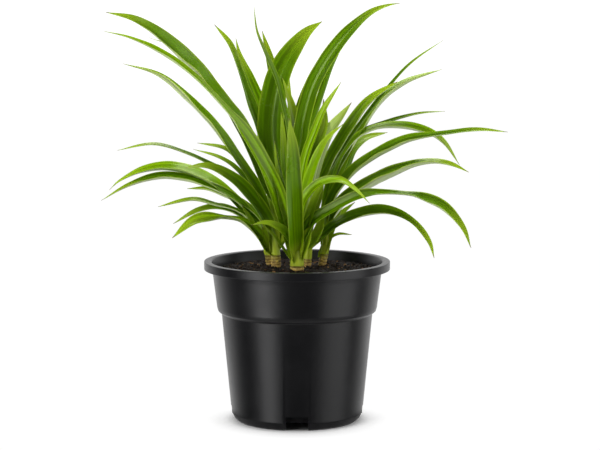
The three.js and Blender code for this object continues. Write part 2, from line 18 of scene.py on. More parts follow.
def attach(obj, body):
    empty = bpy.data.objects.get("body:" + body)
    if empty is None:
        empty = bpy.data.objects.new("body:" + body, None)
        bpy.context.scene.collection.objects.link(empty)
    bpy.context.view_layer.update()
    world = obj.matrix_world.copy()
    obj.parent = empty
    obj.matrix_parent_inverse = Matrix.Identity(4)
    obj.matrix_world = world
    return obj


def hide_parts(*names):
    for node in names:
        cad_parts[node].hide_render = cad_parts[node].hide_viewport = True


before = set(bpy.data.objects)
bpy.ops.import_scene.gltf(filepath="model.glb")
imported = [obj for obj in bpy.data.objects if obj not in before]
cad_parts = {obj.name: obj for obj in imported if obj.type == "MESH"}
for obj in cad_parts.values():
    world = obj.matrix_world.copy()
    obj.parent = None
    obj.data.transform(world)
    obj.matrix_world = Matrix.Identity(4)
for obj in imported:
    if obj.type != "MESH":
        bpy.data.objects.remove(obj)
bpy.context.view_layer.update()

# %% [markdown]
# ## Camera
# A long lens from about two metres away looks slightly down on the plant. Depth of field
# stays off, so that every leaf is sharp.

# %% Place the camera
CAMERA_PLACE = (0.003, -1.902, 0.4206)
CAMERA_TILT = math.radians(-6.613)
CAMERA_LENS = 112.6

camera_data = bpy.data.cameras.new("camera")
camera_data.lens = CAMERA_LENS
camera_data.sensor_width = 36
camera = bpy.data.objects.new("camera", camera_data)
camera.location = CAMERA_PLACE
camera.rotation_euler = (math.radians(90) + CAMERA_TILT, 0, 0)
bpy.context.scene.collection.objects.link(camera)
bpy.context.scene.camera = camera
print("camera at", CAMERA_PLACE, "lens", CAMERA_LENS, "mm")

# %% [markdown]
# ## Helpers for meshes
# Leaves, canes, soil and pot are all skins over rows of points. It is quickest to work out
# all the points as arrays, in millimetres as on a drawing, and to hand them to Blender once,
# in metres. Numbers kept at each point, such as how far it is from a leaf's base, let the
# material change along the leaf.

# %% Mesh helpers
MM = 0.001


def make_piece(name, points, faces, values, material, sharp_angle=50):
    """A mesh object from points in mm, with a named number at each point for the material."""
    mesh = bpy.data.meshes.new(name)
    mesh.from_pydata((np.asarray(points) * MM).tolist(), [], faces)
    mesh.validate()
    for label, numbers in values.items():
        attribute = mesh.attributes.new(label, "FLOAT", "POINT")
        attribute.data.foreach_set("value", np.asarray(numbers, np.float32))
    mesh.shade_smooth()
    mesh.set_sharp_from_angle(angle=math.radians(sharp_angle))
    mesh.materials.append(material)
    piece = bpy.data.objects.new(name, mesh)
    bpy.context.scene.collection.objects.link(piece)
    return piece


print("a drawing in mm is scaled by", MM, "on its way into Blender")

# %% More mesh helpers
def ring_faces(rings, sides, start=0):
    """Quads between rings of equally many points, each ring closed."""
    faces = []
    for i in range(rings - 1):
        for j in range(sides):
            a = start + i * sides + j
            b = start + i * sides + (j + 1) % sides
            faces.append((a, b, b + sides, a + sides))
    return faces


def cap_faces(low_centre, high_centre, high_start, sides):
    """Triangles that close a tube of rings: from one centre at each end to the ring there."""
    faces = []
    for j in range(sides):
        k = (j + 1) % sides
        faces += [(low_centre, k, j), (high_centre, high_start + j, high_start + k)]
    return faces


def smoothstep(x, low, high):
    t = np.clip((np.asarray(x, float) - low) / (high - low), 0, 1)
    return t * t * (3 - 2 * t)


def hand_over(piece, node):
    """The piece moves with the plant and stands for its CAD node, which is hidden."""
    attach(piece, "root")
    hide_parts(node)
    print(piece.name, "stands for", node, "with", len(piece.data.polygons), "faces")


print("a smooth step from 0 to 10 is", smoothstep(2.5, 0, 10), "at 2.5")


# %% [markdown]
# ## Helpers for materials
# A material is a small graph of nodes. These helpers add a node, set its plain inputs and
# join its linked ones, so that each material below reads as a list of steps.

# %% Node helpers
def new_material(name):
    material = bpy.data.materials.new(name)
    material.use_nodes = True
    material.node_tree.nodes.clear()
    return material, material.node_tree


def put(source, socket, tree):
    """Sets a socket to a plain value, or links it to another node's output."""
    if isinstance(source, bpy.types.NodeSocket):
        tree.links.new(source, socket)
    else:
        socket.default_value = source


def add(tree, kind, inputs=(), **settings):
    """A node with its settings made and its inputs set or linked."""
    node = tree.nodes.new(kind)
    for setting, value in settings.items():
        setattr(node, setting, value)
    for socket, source in dict(inputs).items():
        put(source, node.inputs[socket], tree)
    return node


def number(tree, label):
    """A number that is kept at the points of the mesh."""
    return add(tree, "ShaderNodeAttribute", attribute_name=label).outputs["Fac"]


print("made the helpers that add, set and join nodes")

# %% More node helpers
def maths(tree, operation, *sources):
    """One step of arithmetic on numbers or on other nodes' outputs."""
    node = tree.nodes.new("ShaderNodeMath")
    node.operation = operation
    for socket, source in zip(node.inputs, sources):
        put(source, socket, tree)
    return node.outputs[0]


def remap(tree, source, low, high, to_low=0.0, to_high=1.0):
    """Moves a number smoothly from one range to another, held at both ends."""
    node = add(tree, "ShaderNodeMapRange", {0: source}, interpolation_type="SMOOTHSTEP")
    for socket, value in zip(list(node.inputs)[1:5], (low, high, to_low, to_high)):
        socket.default_value = value
    return node.outputs[0]


def blend(tree, share, first, second, way="MIX"):
    """A mix of two colours."""
    node = tree.nodes.new("ShaderNodeMix")
    node.data_type = "RGBA"
    node.blend_type = way
    put(share, node.inputs[0], tree)
    put(first, node.inputs[6], tree)
    put(second, node.inputs[7], tree)
    return node.outputs[2]


def grey(tree, value):
    """A number as a colour, the same in all three channels."""
    return add(tree, "ShaderNodeCombineColor", {0: value, 1: value, 2: value}).outputs[0]


def srgb(red, green, blue):
    """A colour as picked on a screen, from 0 to 255, as the light values that nodes use."""
    parts = [v / 255 for v in (red, green, blue)]
    return tuple(v / 12.92 if v < 0.04045 else ((v + 0.055) / 1.055) ** 2.4 for v in parts) + (1.0,)


print("the screen's middle grey is", round(srgb(128, 128, 128)[0], 3), "as light")


# %% [markdown]
# ## Shared effects
# Two effects come back in several finishes: a fine grain that is both colour and relief, and
# broad uneven patches, as dust or age leaves them. Each is built once as a node group, with
# named inputs, and placed in the materials with their own values.

# %% Build the node groups
def new_group(name, inputs, outputs):
    group = bpy.data.node_groups.new(name, "ShaderNodeTree")
    for label, kind, value in inputs:
        socket = group.interface.new_socket(name=label, in_out="INPUT", socket_type=kind)
        if value is not None:
            socket.default_value = value
    for label, kind in outputs:
        group.interface.new_socket(name=label, in_out="OUTPUT", socket_type=kind)
    return group, add(group, "NodeGroupInput"), add(group, "NodeGroupOutput")


def build_grain():
    """Fine grain: a value around one half, and the normal that its relief gives."""
    group, given, result = new_group(
        "Fine grain",
        [("Scale", "NodeSocketFloat", 900.0), ("Relief", "NodeSocketFloat", 0.1),
         ("Depth", "NodeSocketFloat", 0.0002)],
        [("Value", "NodeSocketFloat"), ("Normal", "NodeSocketVector")])
    place = add(group, "ShaderNodeTexCoord").outputs["Object"]
    fine = add(group, "ShaderNodeTexNoise", {"Vector": place, "Scale": given.outputs["Scale"],
                                             "Detail": 3.0, "Roughness": 0.6})
    bump = add(group, "ShaderNodeBump", {"Height": fine.outputs["Fac"],
                                         "Strength": given.outputs["Relief"],
                                         "Distance": given.outputs["Depth"]})
    put(fine.outputs["Fac"], result.inputs["Value"], group)
    put(bump.outputs["Normal"], result.inputs["Normal"], group)
    return group


def build_patches():
    """Broad uneven patches from 0 to 1."""
    group, given, result = new_group(
        "Uneven patches",
        [("Scale", "NodeSocketFloat", 20.0), ("Low", "NodeSocketFloat", 0.4),
         ("High", "NodeSocketFloat", 0.6)],
        [("Value", "NodeSocketFloat")])
    place = add(group, "ShaderNodeTexCoord").outputs["Object"]
    broad = add(group, "ShaderNodeTexNoise", {"Vector": place, "Scale": given.outputs["Scale"],
                                              "Detail": 4.0, "Roughness": 0.62})
    spread = add(group, "ShaderNodeMapRange", {0: broad.outputs["Fac"], 1: given.outputs["Low"],
                                               2: given.outputs["High"]})
    put(spread.outputs[0], result.inputs["Value"], group)
    return group


GRAIN = build_grain()
PATCHES = build_patches()


def place_group(tree, group, **inputs):
    node = add(tree, "ShaderNodeGroup", node_tree=group)
    for label, value in inputs.items():
        node.inputs[label].default_value = value
    return node


print("node groups:", GRAIN.name, "and", PATCHES.name)

# %% [markdown]
# ## Pot plastic
# Nursery pots are blown or injected in black polypropylene: nearly black, satin rather than
# glossy, with a faint orange-peel grain and fine pale specks of dust. A dark base with a
# middling roughness gives the broad soft highlights, and the grain breaks them up a little.

# %% Make the pot plastic
POT_BLACK = srgb(15, 15, 17)
POT_DUST = srgb(70, 70, 74)
POT_ROUGHNESS = 0.33


def make_pot_plastic():
    material, tree = new_material("satin black plastic")
    grain = place_group(tree, GRAIN, Scale=1400.0, Relief=0.22, Depth=0.0003)
    dust = place_group(tree, PATCHES, Scale=14.0, Low=0.42, High=0.75)
    specks = place_group(tree, PATCHES, Scale=900.0, Low=0.66, High=0.8)
    haze = maths(tree, "MULTIPLY", dust.outputs["Value"], 0.04)
    colour = blend(tree, haze, POT_BLACK, POT_DUST)
    colour = blend(tree, maths(tree, "MULTIPLY", specks.outputs["Value"], 0.2), colour, POT_DUST)
    rough = maths(tree, "MULTIPLY_ADD", grain.outputs["Value"], 0.16, POT_ROUGHNESS - 0.08)
    rough = maths(tree, "MULTIPLY_ADD", dust.outputs["Value"], 0.08, rough)
    skin = add(tree, "ShaderNodeBsdfPrincipled", {
        "Base Color": colour, "Roughness": rough, "Normal": grain.outputs["Normal"],
        "IOR": 1.46, "Specular IOR Level": 0.31})
    add(tree, "ShaderNodeOutputMaterial", {"Surface": skin.outputs["BSDF"]})
    return material


POT_PLASTIC = make_pot_plastic()
print("made", POT_PLASTIC.name)

# %% [markdown]
# ## Potting soil
# Peat with bits of bark: very dark brown, quite dull, with single crumbs that are lighter or
# redder. The crumbs are real geometry, so each carries its own number for its colour, and
# the ground between them gets its relief from a coarse grain.

# %% Make the soil
SOIL_DARK = srgb(15, 9, 5)
SOIL_BROWN = srgb(48, 30, 18)
SOIL_TAN = srgb(150, 112, 70)


def make_soil_material():
    material, tree = new_material("potting soil")
    grain = place_group(tree, GRAIN, Scale=620.0, Relief=0.9, Depth=0.0012)
    damp = place_group(tree, PATCHES, Scale=45.0, Low=0.35, High=0.7)
    crumb = number(tree, "crumb")
    colour = blend(tree, maths(tree, "MULTIPLY", damp.outputs["Value"], 0.6), SOIL_DARK, SOIL_BROWN)
    colour = blend(tree, remap(tree, crumb, 0.45, 0.9), colour, SOIL_BROWN)
    colour = blend(tree, remap(tree, crumb, 0.9, 1.0), colour, SOIL_TAN)
    shade = remap(tree, grain.outputs["Value"], 0.3, 0.62, 0.35, 1.25)
    colour = blend(tree, 1.0, colour, grey(tree, shade), "MULTIPLY")
    skin = add(tree, "ShaderNodeBsdfPrincipled", {
        "Base Color": colour, "Roughness": remap(tree, damp.outputs["Value"], 0.0, 1.0, 0.72, 0.95),
        "Normal": grain.outputs["Normal"], "Specular IOR Level": 0.3})
    add(tree, "ShaderNodeOutputMaterial", {"Surface": skin.outputs["BSDF"]})
    return material


POTTING_SOIL = make_soil_material()
print("made", POTTING_SOIL.name)

# %% [markdown]
# ## Cane skin
# A dracaena's cane is straw-coloured and smooth between its rings, where it is still a
# little green under the leaves, and each ring, where a leaf once clasped it, is a thin dark
# brown line. The rings are in the mesh; the number "ring" is 1 on each of these lines.

# %% Make the cane skin
CANE_STRAW = srgb(214, 178, 92)
CANE_GREEN = srgb(176, 170, 60)
CANE_BROWN = srgb(66, 38, 16)


def make_cane_material():
    material, tree = new_material("ringed cane skin")
    grain = place_group(tree, GRAIN, Scale=500.0, Relief=0.35, Depth=0.0004)
    age = place_group(tree, PATCHES, Scale=160.0, Low=0.4, High=0.68)
    colour = blend(tree, number(tree, "young"), CANE_STRAW, CANE_GREEN)
    colour = blend(tree, maths(tree, "MULTIPLY", age.outputs["Value"], 0.6), colour, CANE_BROWN)
    colour = blend(tree, maths(tree, "MULTIPLY", number(tree, "ring"), 0.85), colour, CANE_BROWN)
    fibre = remap(tree, grain.outputs["Value"], 0.35, 0.65, 0.72, 1.12)
    colour = blend(tree, 1.0, colour, grey(tree, fibre), "MULTIPLY")
    skin = add(tree, "ShaderNodeBsdfPrincipled", {
        "Base Color": colour, "Roughness": remap(tree, age.outputs["Value"], 0.0, 1.0, 0.5, 0.75),
        "Normal": grain.outputs["Normal"]})
    add(tree, "ShaderNodeOutputMaterial", {"Surface": skin.outputs["BSDF"]})
    return material


CANE_SKIN = make_cane_material()
print("made", CANE_SKIN.name)

# %% [markdown]
# ## Leaf skin
# The leaves are long straps, glossy above and paler below, with fine veins that run side by
# side from base to tip. Their pale underside colour is lifted further as painted sheen. The
# margins, and the last few centimetres before the tip, are a bright yellow green that is
# painted glow of light through the thin blade. Where they clasp the stem they are yellow
# green, and their tips have dried to brown. Light also comes through them, so part of the
# surface is a translucent shader. Each leaf carries a tone from dark to bright: old leaves
# are darker, and leaves deep in the heads or at the back get a darker tone as painted shade.

# %% Make the leaf skin
LEAF_DARK = srgb(22, 50, 0)
LEAF_MIDDLE = srgb(84, 126, 0)
LEAF_BRIGHT = srgb(140, 182, 0)
# the paler underside, lifted further as painted sheen
LEAF_UNDER_AND_SHEEN = srgb(206, 220, 158)
LEAF_BASE = srgb(200, 216, 60)
# painted glow: light through the thin margins and tips, put into the colour
LEAF_PAINTED_GLOW = srgb(188, 216, 50)
LEAF_DRY = srgb(128, 104, 62)
LEAF_THROUGH = srgb(172, 216, 10)
LEAF_THROUGH_SHARE = 0.2
LEAF_SHEEN = (0.92, 1.0, 0.55, 1.0)
LEAF_ROUGHNESS = 0.2
VEINS_ACROSS = 4.5


def make_leaf_material():
    material, tree = new_material("leaf skin")
    across = number(tree, "across")
    from_rib = maths(tree, "ABSOLUTE", across)
    along = number(tree, "from_base")
    tone = number(tree, "tone")
    under = number(tree, "under")
    patches = place_group(tree, PATCHES, Scale=22.0, Low=0.3, High=0.7)

    lane = add(tree, "ShaderNodeCombineXYZ", {0: maths(tree, "MULTIPLY", across, VEINS_ACROSS),
                                              1: maths(tree, "MULTIPLY", along, 0.006),
                                              2: maths(tree, "MULTIPLY", tone, 40.0)})
    veins = add(tree, "ShaderNodeTexNoise", {"Vector": lane.outputs[0], "Scale": 0.8,
                                             "Detail": 1.5, "Roughness": 0.5})
    height = maths(tree, "MULTIPLY", veins.outputs["Fac"], number(tree, "width"))
    relief = add(tree, "ShaderNodeBump", {
        "Height": height, "Strength": 0.3, "Distance": 0.0012})

    # tone: older leaves are darker, and inner and back leaves get a darker tone as painted shade
    green = blend(tree, remap(tree, tone, 0.0, 0.5), LEAF_DARK, LEAF_MIDDLE)
    green = blend(tree, remap(tree, tone, 0.5, 1.0), green, LEAF_BRIGHT)
    green = blend(tree, maths(tree, "MULTIPLY", patches.outputs["Value"], 0.25), green, LEAF_BRIGHT)
    # underside colour, partly painted sheen
    green = blend(tree, maths(tree, "MULTIPLY", under, 0.75), green, LEAF_UNDER_AND_SHEEN)
    stripe = remap(tree, veins.outputs["Fac"], 0.32, 0.68, 0.62, 1.4)
    green = blend(tree, 1.0, green, grey(tree, stripe), "MULTIPLY")
    green = blend(tree, remap(tree, from_rib, 0.0, 0.1, 0.4, 0.0), green, LEAF_BRIGHT)
    # painted glow along the margins
    green = blend(tree, remap(tree, from_rib, 0.82, 1.0, 0.0, 0.65), green, LEAF_PAINTED_GLOW)
    ripe = maths(tree, "MULTIPLY", remap(tree, along, 2.0, 36.0, 1.0, 0.0),
                 remap(tree, tone, 0.1, 0.5, 0.3, 0.85))
    green = blend(tree, ripe, green, LEAF_BASE)
    # painted glow over the last few centimetres before the tip
    painted_tip_glow = remap(tree, number(tree, "from_tip"), 5.0, 60.0, 0.7, 0.0)
    green = blend(tree, painted_tip_glow, green, LEAF_PAINTED_GLOW)
    dry = remap(tree, maths(tree, "MULTIPLY_ADD", patches.outputs["Value"], 4.0,
                            number(tree, "from_tip")), 2.0, 7.0, 0.9, 0.0)
    colour = blend(tree, dry, green, LEAF_DRY)
    rough = maths(tree, "MULTIPLY_ADD", patches.outputs["Value"], 0.1, LEAF_ROUGHNESS)
    rough = maths(tree, "MULTIPLY_ADD", under, 0.1, rough)

    skin = add(tree, "ShaderNodeBsdfPrincipled", {
        "Base Color": colour, "Roughness": rough, "Normal": relief.outputs["Normal"],
        "Specular IOR Level": 0.42, "Specular Tint": LEAF_SHEEN})
    through = add(tree, "ShaderNodeBsdfTranslucent", {
        "Color": blend(tree, 0.6, colour, LEAF_THROUGH), "Normal": relief.outputs["Normal"]})
    both = add(tree, "ShaderNodeMixShader", {
        0: LEAF_THROUGH_SHARE, 1: skin.outputs["BSDF"], 2: through.outputs["BSDF"]})
    add(tree, "ShaderNodeOutputMaterial", {"Surface": both.outputs[0]})
    return material


LEAF_SKIN = make_leaf_material()
print("made", LEAF_SKIN.name)

# %% [markdown]
# ## The pot
# A pot is a turned form: a profile spun round an axis. The profile follows the CAD one, in
# mm, and is a little closer to the real pot at the collar and the foot. Each corner is eased
# by a small curve, as moulded plastic is, and there are enough segments for a round outline.
# The four notches at the foot, which let the water out, and the drain holes in the floor are
# cut by boolean, as a mould's slides would leave them.

# %% Sizes of the pot
POT_HEIGHT = 163.6
RIM_RADIUS = 95
RIM_INNER_RADIUS = 88
RIM_DROP = 8.4
RIM_WALL = 1.6
WALL = 2
COLLAR_TOP_RADIUS = 86.1
COLLAR_TOP_HEIGHT = 150
NECK_HEIGHT = 156  # where the collar starts to flare out to the rim
COLLAR_BASE_RADIUS = 81.9
COLLAR_BASE_HEIGHT = 115
BODY_TOP_RADIUS = 77.3
BODY_TOP_HEIGHT = 110.4
BODY_BASE_RADIUS = 67.5
BODY_BASE_HEIGHT = 8
FOOT_RADIUS = 62
FOOT_INNER_RADIUS = 58.4
FLOOR_BOTTOM = 8
FLOOR_TOP = 10
POT_SEGMENTS = 176
CORNER = 0.7  # how far back from a corner its easing starts
CORNER_STEPS = 3

POT_INSIDE = [
    (BODY_BASE_RADIUS - WALL + 0.6, FLOOR_TOP),
    (BODY_TOP_RADIUS - WALL, BODY_TOP_HEIGHT - 0.6),
    (COLLAR_BASE_RADIUS - WALL, COLLAR_BASE_HEIGHT + 2),
    (COLLAR_TOP_RADIUS - WALL, COLLAR_TOP_HEIGHT),
]
POT_PROFILE = [
    (0, FLOOR_BOTTOM),
    (BODY_BASE_RADIUS - WALL, FLOOR_BOTTOM),
    (BODY_BASE_RADIUS - WALL - 1.6, FLOOR_BOTTOM - 2.5),
    (FOOT_INNER_RADIUS, 0),
    (FOOT_RADIUS, 0),
    (FOOT_RADIUS + 2.4, 2.2),
    (BODY_BASE_RADIUS, BODY_BASE_HEIGHT),
    (BODY_TOP_RADIUS, BODY_TOP_HEIGHT),
    (BODY_TOP_RADIUS + 1.6, BODY_TOP_HEIGHT + 0.9),
    (COLLAR_BASE_RADIUS - 1, COLLAR_BASE_HEIGHT - 2),
    (COLLAR_BASE_RADIUS, COLLAR_BASE_HEIGHT + 1.6),
    (COLLAR_TOP_RADIUS, COLLAR_TOP_HEIGHT),
    (COLLAR_TOP_RADIUS + 1.2, NECK_HEIGHT),
    (RIM_INNER_RADIUS + 0.4, POT_HEIGHT - 2),
    (RIM_RADIUS - RIM_WALL, POT_HEIGHT - 2),
    (RIM_RADIUS - RIM_WALL, POT_HEIGHT - RIM_DROP),
    (RIM_RADIUS, POT_HEIGHT - RIM_DROP),
    (RIM_RADIUS, POT_HEIGHT - 0.4),
    (RIM_RADIUS - 0.4, POT_HEIGHT),
    (RIM_INNER_RADIUS + 0.6, POT_HEIGHT),
    (RIM_INNER_RADIUS - 0.6, POT_HEIGHT - 0.7),
    (COLLAR_TOP_RADIUS - WALL + 1.3, NECK_HEIGHT + 0.4),
    *reversed(POT_INSIDE),
    (0, FLOOR_TOP),
]
print("the pot's profile has", len(POT_PROFILE), "corners")

# %% Turn a profile
def eased(profile):
    """The same profile with every corner replaced by a small curve."""
    points = [profile[0]]
    for before, corner, after in zip(profile, profile[1:], profile[2:]):
        middle = Vector(corner)
        arms = [Vector(before) - middle, Vector(after) - middle]
        ends = [middle + arm.normalized() * min(CORNER, arm.length * 0.4) for arm in arms]
        for i in range(CORNER_STEPS + 1):
            t = i / CORNER_STEPS
            points.append(tuple(ends[0] * (1 - t) ** 2 + middle * 2 * t * (1 - t) + ends[1] * t * t))
    return points + [profile[-1]]


def turned(profile, segments):
    """Points and faces of a profile that starts and ends on the axis, spun round it."""
    angles = np.arange(segments) * 2 * math.pi / segments
    inner = profile[1:-1]
    rings = [np.column_stack([r * np.cos(angles), r * np.sin(angles), np.full(segments, z)])
             for r, z in inner]
    points = np.vstack([*rings, [(0, 0, profile[0][1]), (0, 0, profile[-1][1])]])
    faces = ring_faces(len(inner), segments)
    faces += cap_faces(len(points) - 2, len(points) - 1, (len(inner) - 1) * segments, segments)
    return points, faces


print("eased, it has", len(eased(POT_PROFILE)), "points, each spun into", POT_SEGMENTS)

# %% Cut tools for the pot
NOTCHES = 4
NOTCH_WIDTH = 23
NOTCH_HEIGHT = 15
NOTCH_DEPTH_RADIUS = 59.5
NOTCH_RIB_WIDTH = 2.2
NOTCH_RIB_DEPTH = 1.6
NOTCH_RIB_OFFSET = 4.4
DRAIN_RADIUS = 6
DRAIN_CIRCLE_RADIUS = 44
DRAIN_SIDES = 40
DRAIN_DEPTH = 12


def block(low, high, angle):
    """A box between two corners in mm, then turned round the pot's axis."""
    piece = bmesh.new()
    bmesh.ops.create_cube(piece, size=1)
    centre = (Vector(low) + Vector(high)) / 2
    size = Vector(high) - Vector(low)
    for vert in piece.verts:
        x, y, z = (centre[i] + vert.co[i] * size[i] for i in range(3))
        vert.co = (x * math.cos(angle) - y * math.sin(angle),
                   x * math.sin(angle) + y * math.cos(angle), z)
    return piece


def drain(angle):
    """A round bar through the floor."""
    piece = bmesh.new()
    bmesh.ops.create_cone(piece, cap_ends=True, segments=DRAIN_SIDES, radius1=DRAIN_RADIUS,
                          radius2=DRAIN_RADIUS, depth=DRAIN_DEPTH)
    middle = Vector((math.cos(angle) * DRAIN_CIRCLE_RADIUS,
                     math.sin(angle) * DRAIN_CIRCLE_RADIUS, FLOOR_TOP))
    bmesh.ops.translate(piece, verts=piece.verts, vec=middle)
    return piece


def apply_boolean(piece, tools, operation):
    """Joins the tools into one mesh, adds it to the piece or cuts it away, and throws it out."""
    joined = bmesh.new()
    for tool in tools:
        mesh = bpy.data.meshes.new("tool")
        tool.to_mesh(mesh)
        joined.from_mesh(mesh)
        bpy.data.meshes.remove(mesh)
        tool.free()
    bmesh.ops.scale(joined, verts=joined.verts, vec=(MM, MM, MM))
    mesh = bpy.data.meshes.new("cutter")
    joined.to_mesh(mesh)
    joined.free()
    cutter = bpy.data.objects.new("cutter", mesh)
    bpy.context.scene.collection.objects.link(cutter)
    modifier = piece.modifiers.new("boolean", "BOOLEAN")
    modifier.object = cutter
    modifier.operation = operation
    modifier.solver = "EXACT"
    graph = bpy.context.evaluated_depsgraph_get()
    result = bpy.data.meshes.new_from_object(piece.evaluated_get(graph))
    piece.modifiers.clear()
    old = piece.data
    piece.data = result
    bpy.data.meshes.remove(old)
    bpy.data.objects.remove(cutter)


print(NOTCHES, "notches,", NOTCH_WIDTH, "mm wide and", NOTCH_HEIGHT, "mm high, and",
      NOTCHES, "drain holes,", 2 * DRAIN_RADIUS, "mm across")

# %% Build the pot
POT_SHARP_ANGLE = 38  # degrees, above which an edge stays crisp


def notch_blocks(kind):
    """The boxes round the foot: the housings, the openings, the undercuts and the ribs."""
    back = NOTCH_DEPTH_RADIUS
    half = NOTCH_WIDTH / 2
    corners = {
        "housing": [((-half - WALL, 1 - BODY_BASE_RADIUS, FLOOR_BOTTOM),
                     (half + WALL, WALL - back, NOTCH_HEIGHT + WALL))],
        "opening": [((-half, -RIM_RADIUS, -5), (half, -back, NOTCH_HEIGHT))],
        "undercut": [((-half, -back - 4, -5), (half, 4 - back, FLOOR_BOTTOM))],
        "rib": [((side * NOTCH_RIB_OFFSET - NOTCH_RIB_WIDTH / 2, -back - NOTCH_RIB_DEPTH, FLOOR_BOTTOM),
                 (side * NOTCH_RIB_OFFSET + NOTCH_RIB_WIDTH / 2, 0.5 - back, NOTCH_HEIGHT + 1))
                for side in (-1, 1)],
    }[kind]
    return [block(low, high, i * math.tau / NOTCHES) for i in range(NOTCHES) for low, high in corners]


def build_pot():
    points, faces = turned(eased(POT_PROFILE), POT_SEGMENTS)
    pot = make_piece("nursery_pot", points, faces, {}, POT_PLASTIC)
    apply_boolean(pot, notch_blocks("housing"), "UNION")
    apply_boolean(pot, notch_blocks("opening"), "DIFFERENCE")
    apply_boolean(pot, notch_blocks("undercut"), "DIFFERENCE")
    apply_boolean(pot, notch_blocks("rib"), "UNION")
    holes = [drain(math.radians(45) + i * math.tau / NOTCHES) for i in range(NOTCHES)]
    apply_boolean(pot, holes, "DIFFERENCE")
    pot.data.shade_smooth()
    pot.data.set_sharp_from_angle(angle=math.radians(POT_SHARP_ANGLE))
    return pot


pot = build_pot()
hand_over(pot, "pot")

# %% [markdown]
# ## Places on the plants
# The plants are laid out as (across, up) in mm on an upright sheet that stands through the
# pot's axis, square to the line of sight. A third number, the depth, slides a place along
# its own line of sight, so that leaves can come forward or lean back and still be seen where
# they were laid out.

# %% From the sheet to space
VIEWPOINT = np.array((3, -1902, 420.6))
SHEET_MIDDLE = np.array((3, 0, 200))


def unit(vectors):
    vectors = np.asarray(vectors, float)
    return vectors / np.maximum(np.linalg.norm(vectors, axis=-1, keepdims=True), 1e-9)


SHEET_ACROSS = np.array((1.0, 0, 0))
SHEET_UP = np.cross(unit(VIEWPOINT - SHEET_MIDDLE), SHEET_ACROSS)


def place(point, depth):
    """The spot in space, in mm, of a point on the sheet at a depth."""
    on_sheet = SHEET_MIDDLE * (0, 1, 1) + SHEET_ACROSS * point[0] + SHEET_UP * point[1]
    sight = on_sheet - VIEWPOINT
    return VIEWPOINT + sight * (depth - VIEWPOINT[1]) / sight[1]


print("a place 100 mm up the sheet, 50 mm back:", place((0, 100), 50).round(1))

# %% Smooth lines through points
def smooth_curve(points, steps=24):
    """A smooth line through the points: a centripetal Catmull-Rom curve, as in the CAD."""
    points = np.asarray(points, float)
    whole = np.vstack([2 * points[0] - points[1], points, 2 * points[-1] - points[-2]])
    parts = []
    for p0, p1, p2, p3 in zip(whole, whole[1:], whole[2:], whole[3:]):
        d0, d1, d2 = (math.sqrt(np.linalg.norm(b - a)) for a, b in ((p0, p1), (p1, p2), (p2, p3)))
        m1 = ((p1 - p0) / d0 - (p2 - p0) / (d0 + d1) + (p2 - p1) / d1) * d1
        m2 = ((p2 - p1) / d1 - (p3 - p1) / (d1 + d2) + (p3 - p2) / d2) * d1
        t = np.linspace(0, 1, steps, endpoint=False)[:, None]
        parts.append(p1 + m1 * t + (3 * (p2 - p1) - 2 * m1 - m2) * t ** 2
                     + (2 * (p1 - p2) + m1 + m2) * t ** 3)
    return np.vstack([*parts, points[-1:]])


def evenly(curve, count):
    """Points at equal steps along a line, and the line's length."""
    lengths = np.r_[0, np.cumsum(np.linalg.norm(np.diff(curve, axis=0), axis=1))]
    at = np.linspace(0, lengths[-1], count)
    return np.column_stack([np.interp(at, lengths, curve[:, i]) for i in range(3)]), lengths[-1]


print("a curve through 3 places has", len(smooth_curve([(0, 0, 0), (1, 1, 0), (2, 0, 0)])), "points")


# %% [markdown]
# ## The five plants
# Each plant has the sheet's places of its cane and of the green stem that the leaves clasp.
# A leaf is its width, the depth of its tip, its tone from dark to bright, its face angles
# from base to tip and its line from base to tip. A face angle is 0 where the upper side
# faces up, 90 where it faces the front and -90 where it faces the back. Leaves that roll
# over have a second list of face angles at the end. A table is the plainest way to keep so
# many leaves that each go their own way.

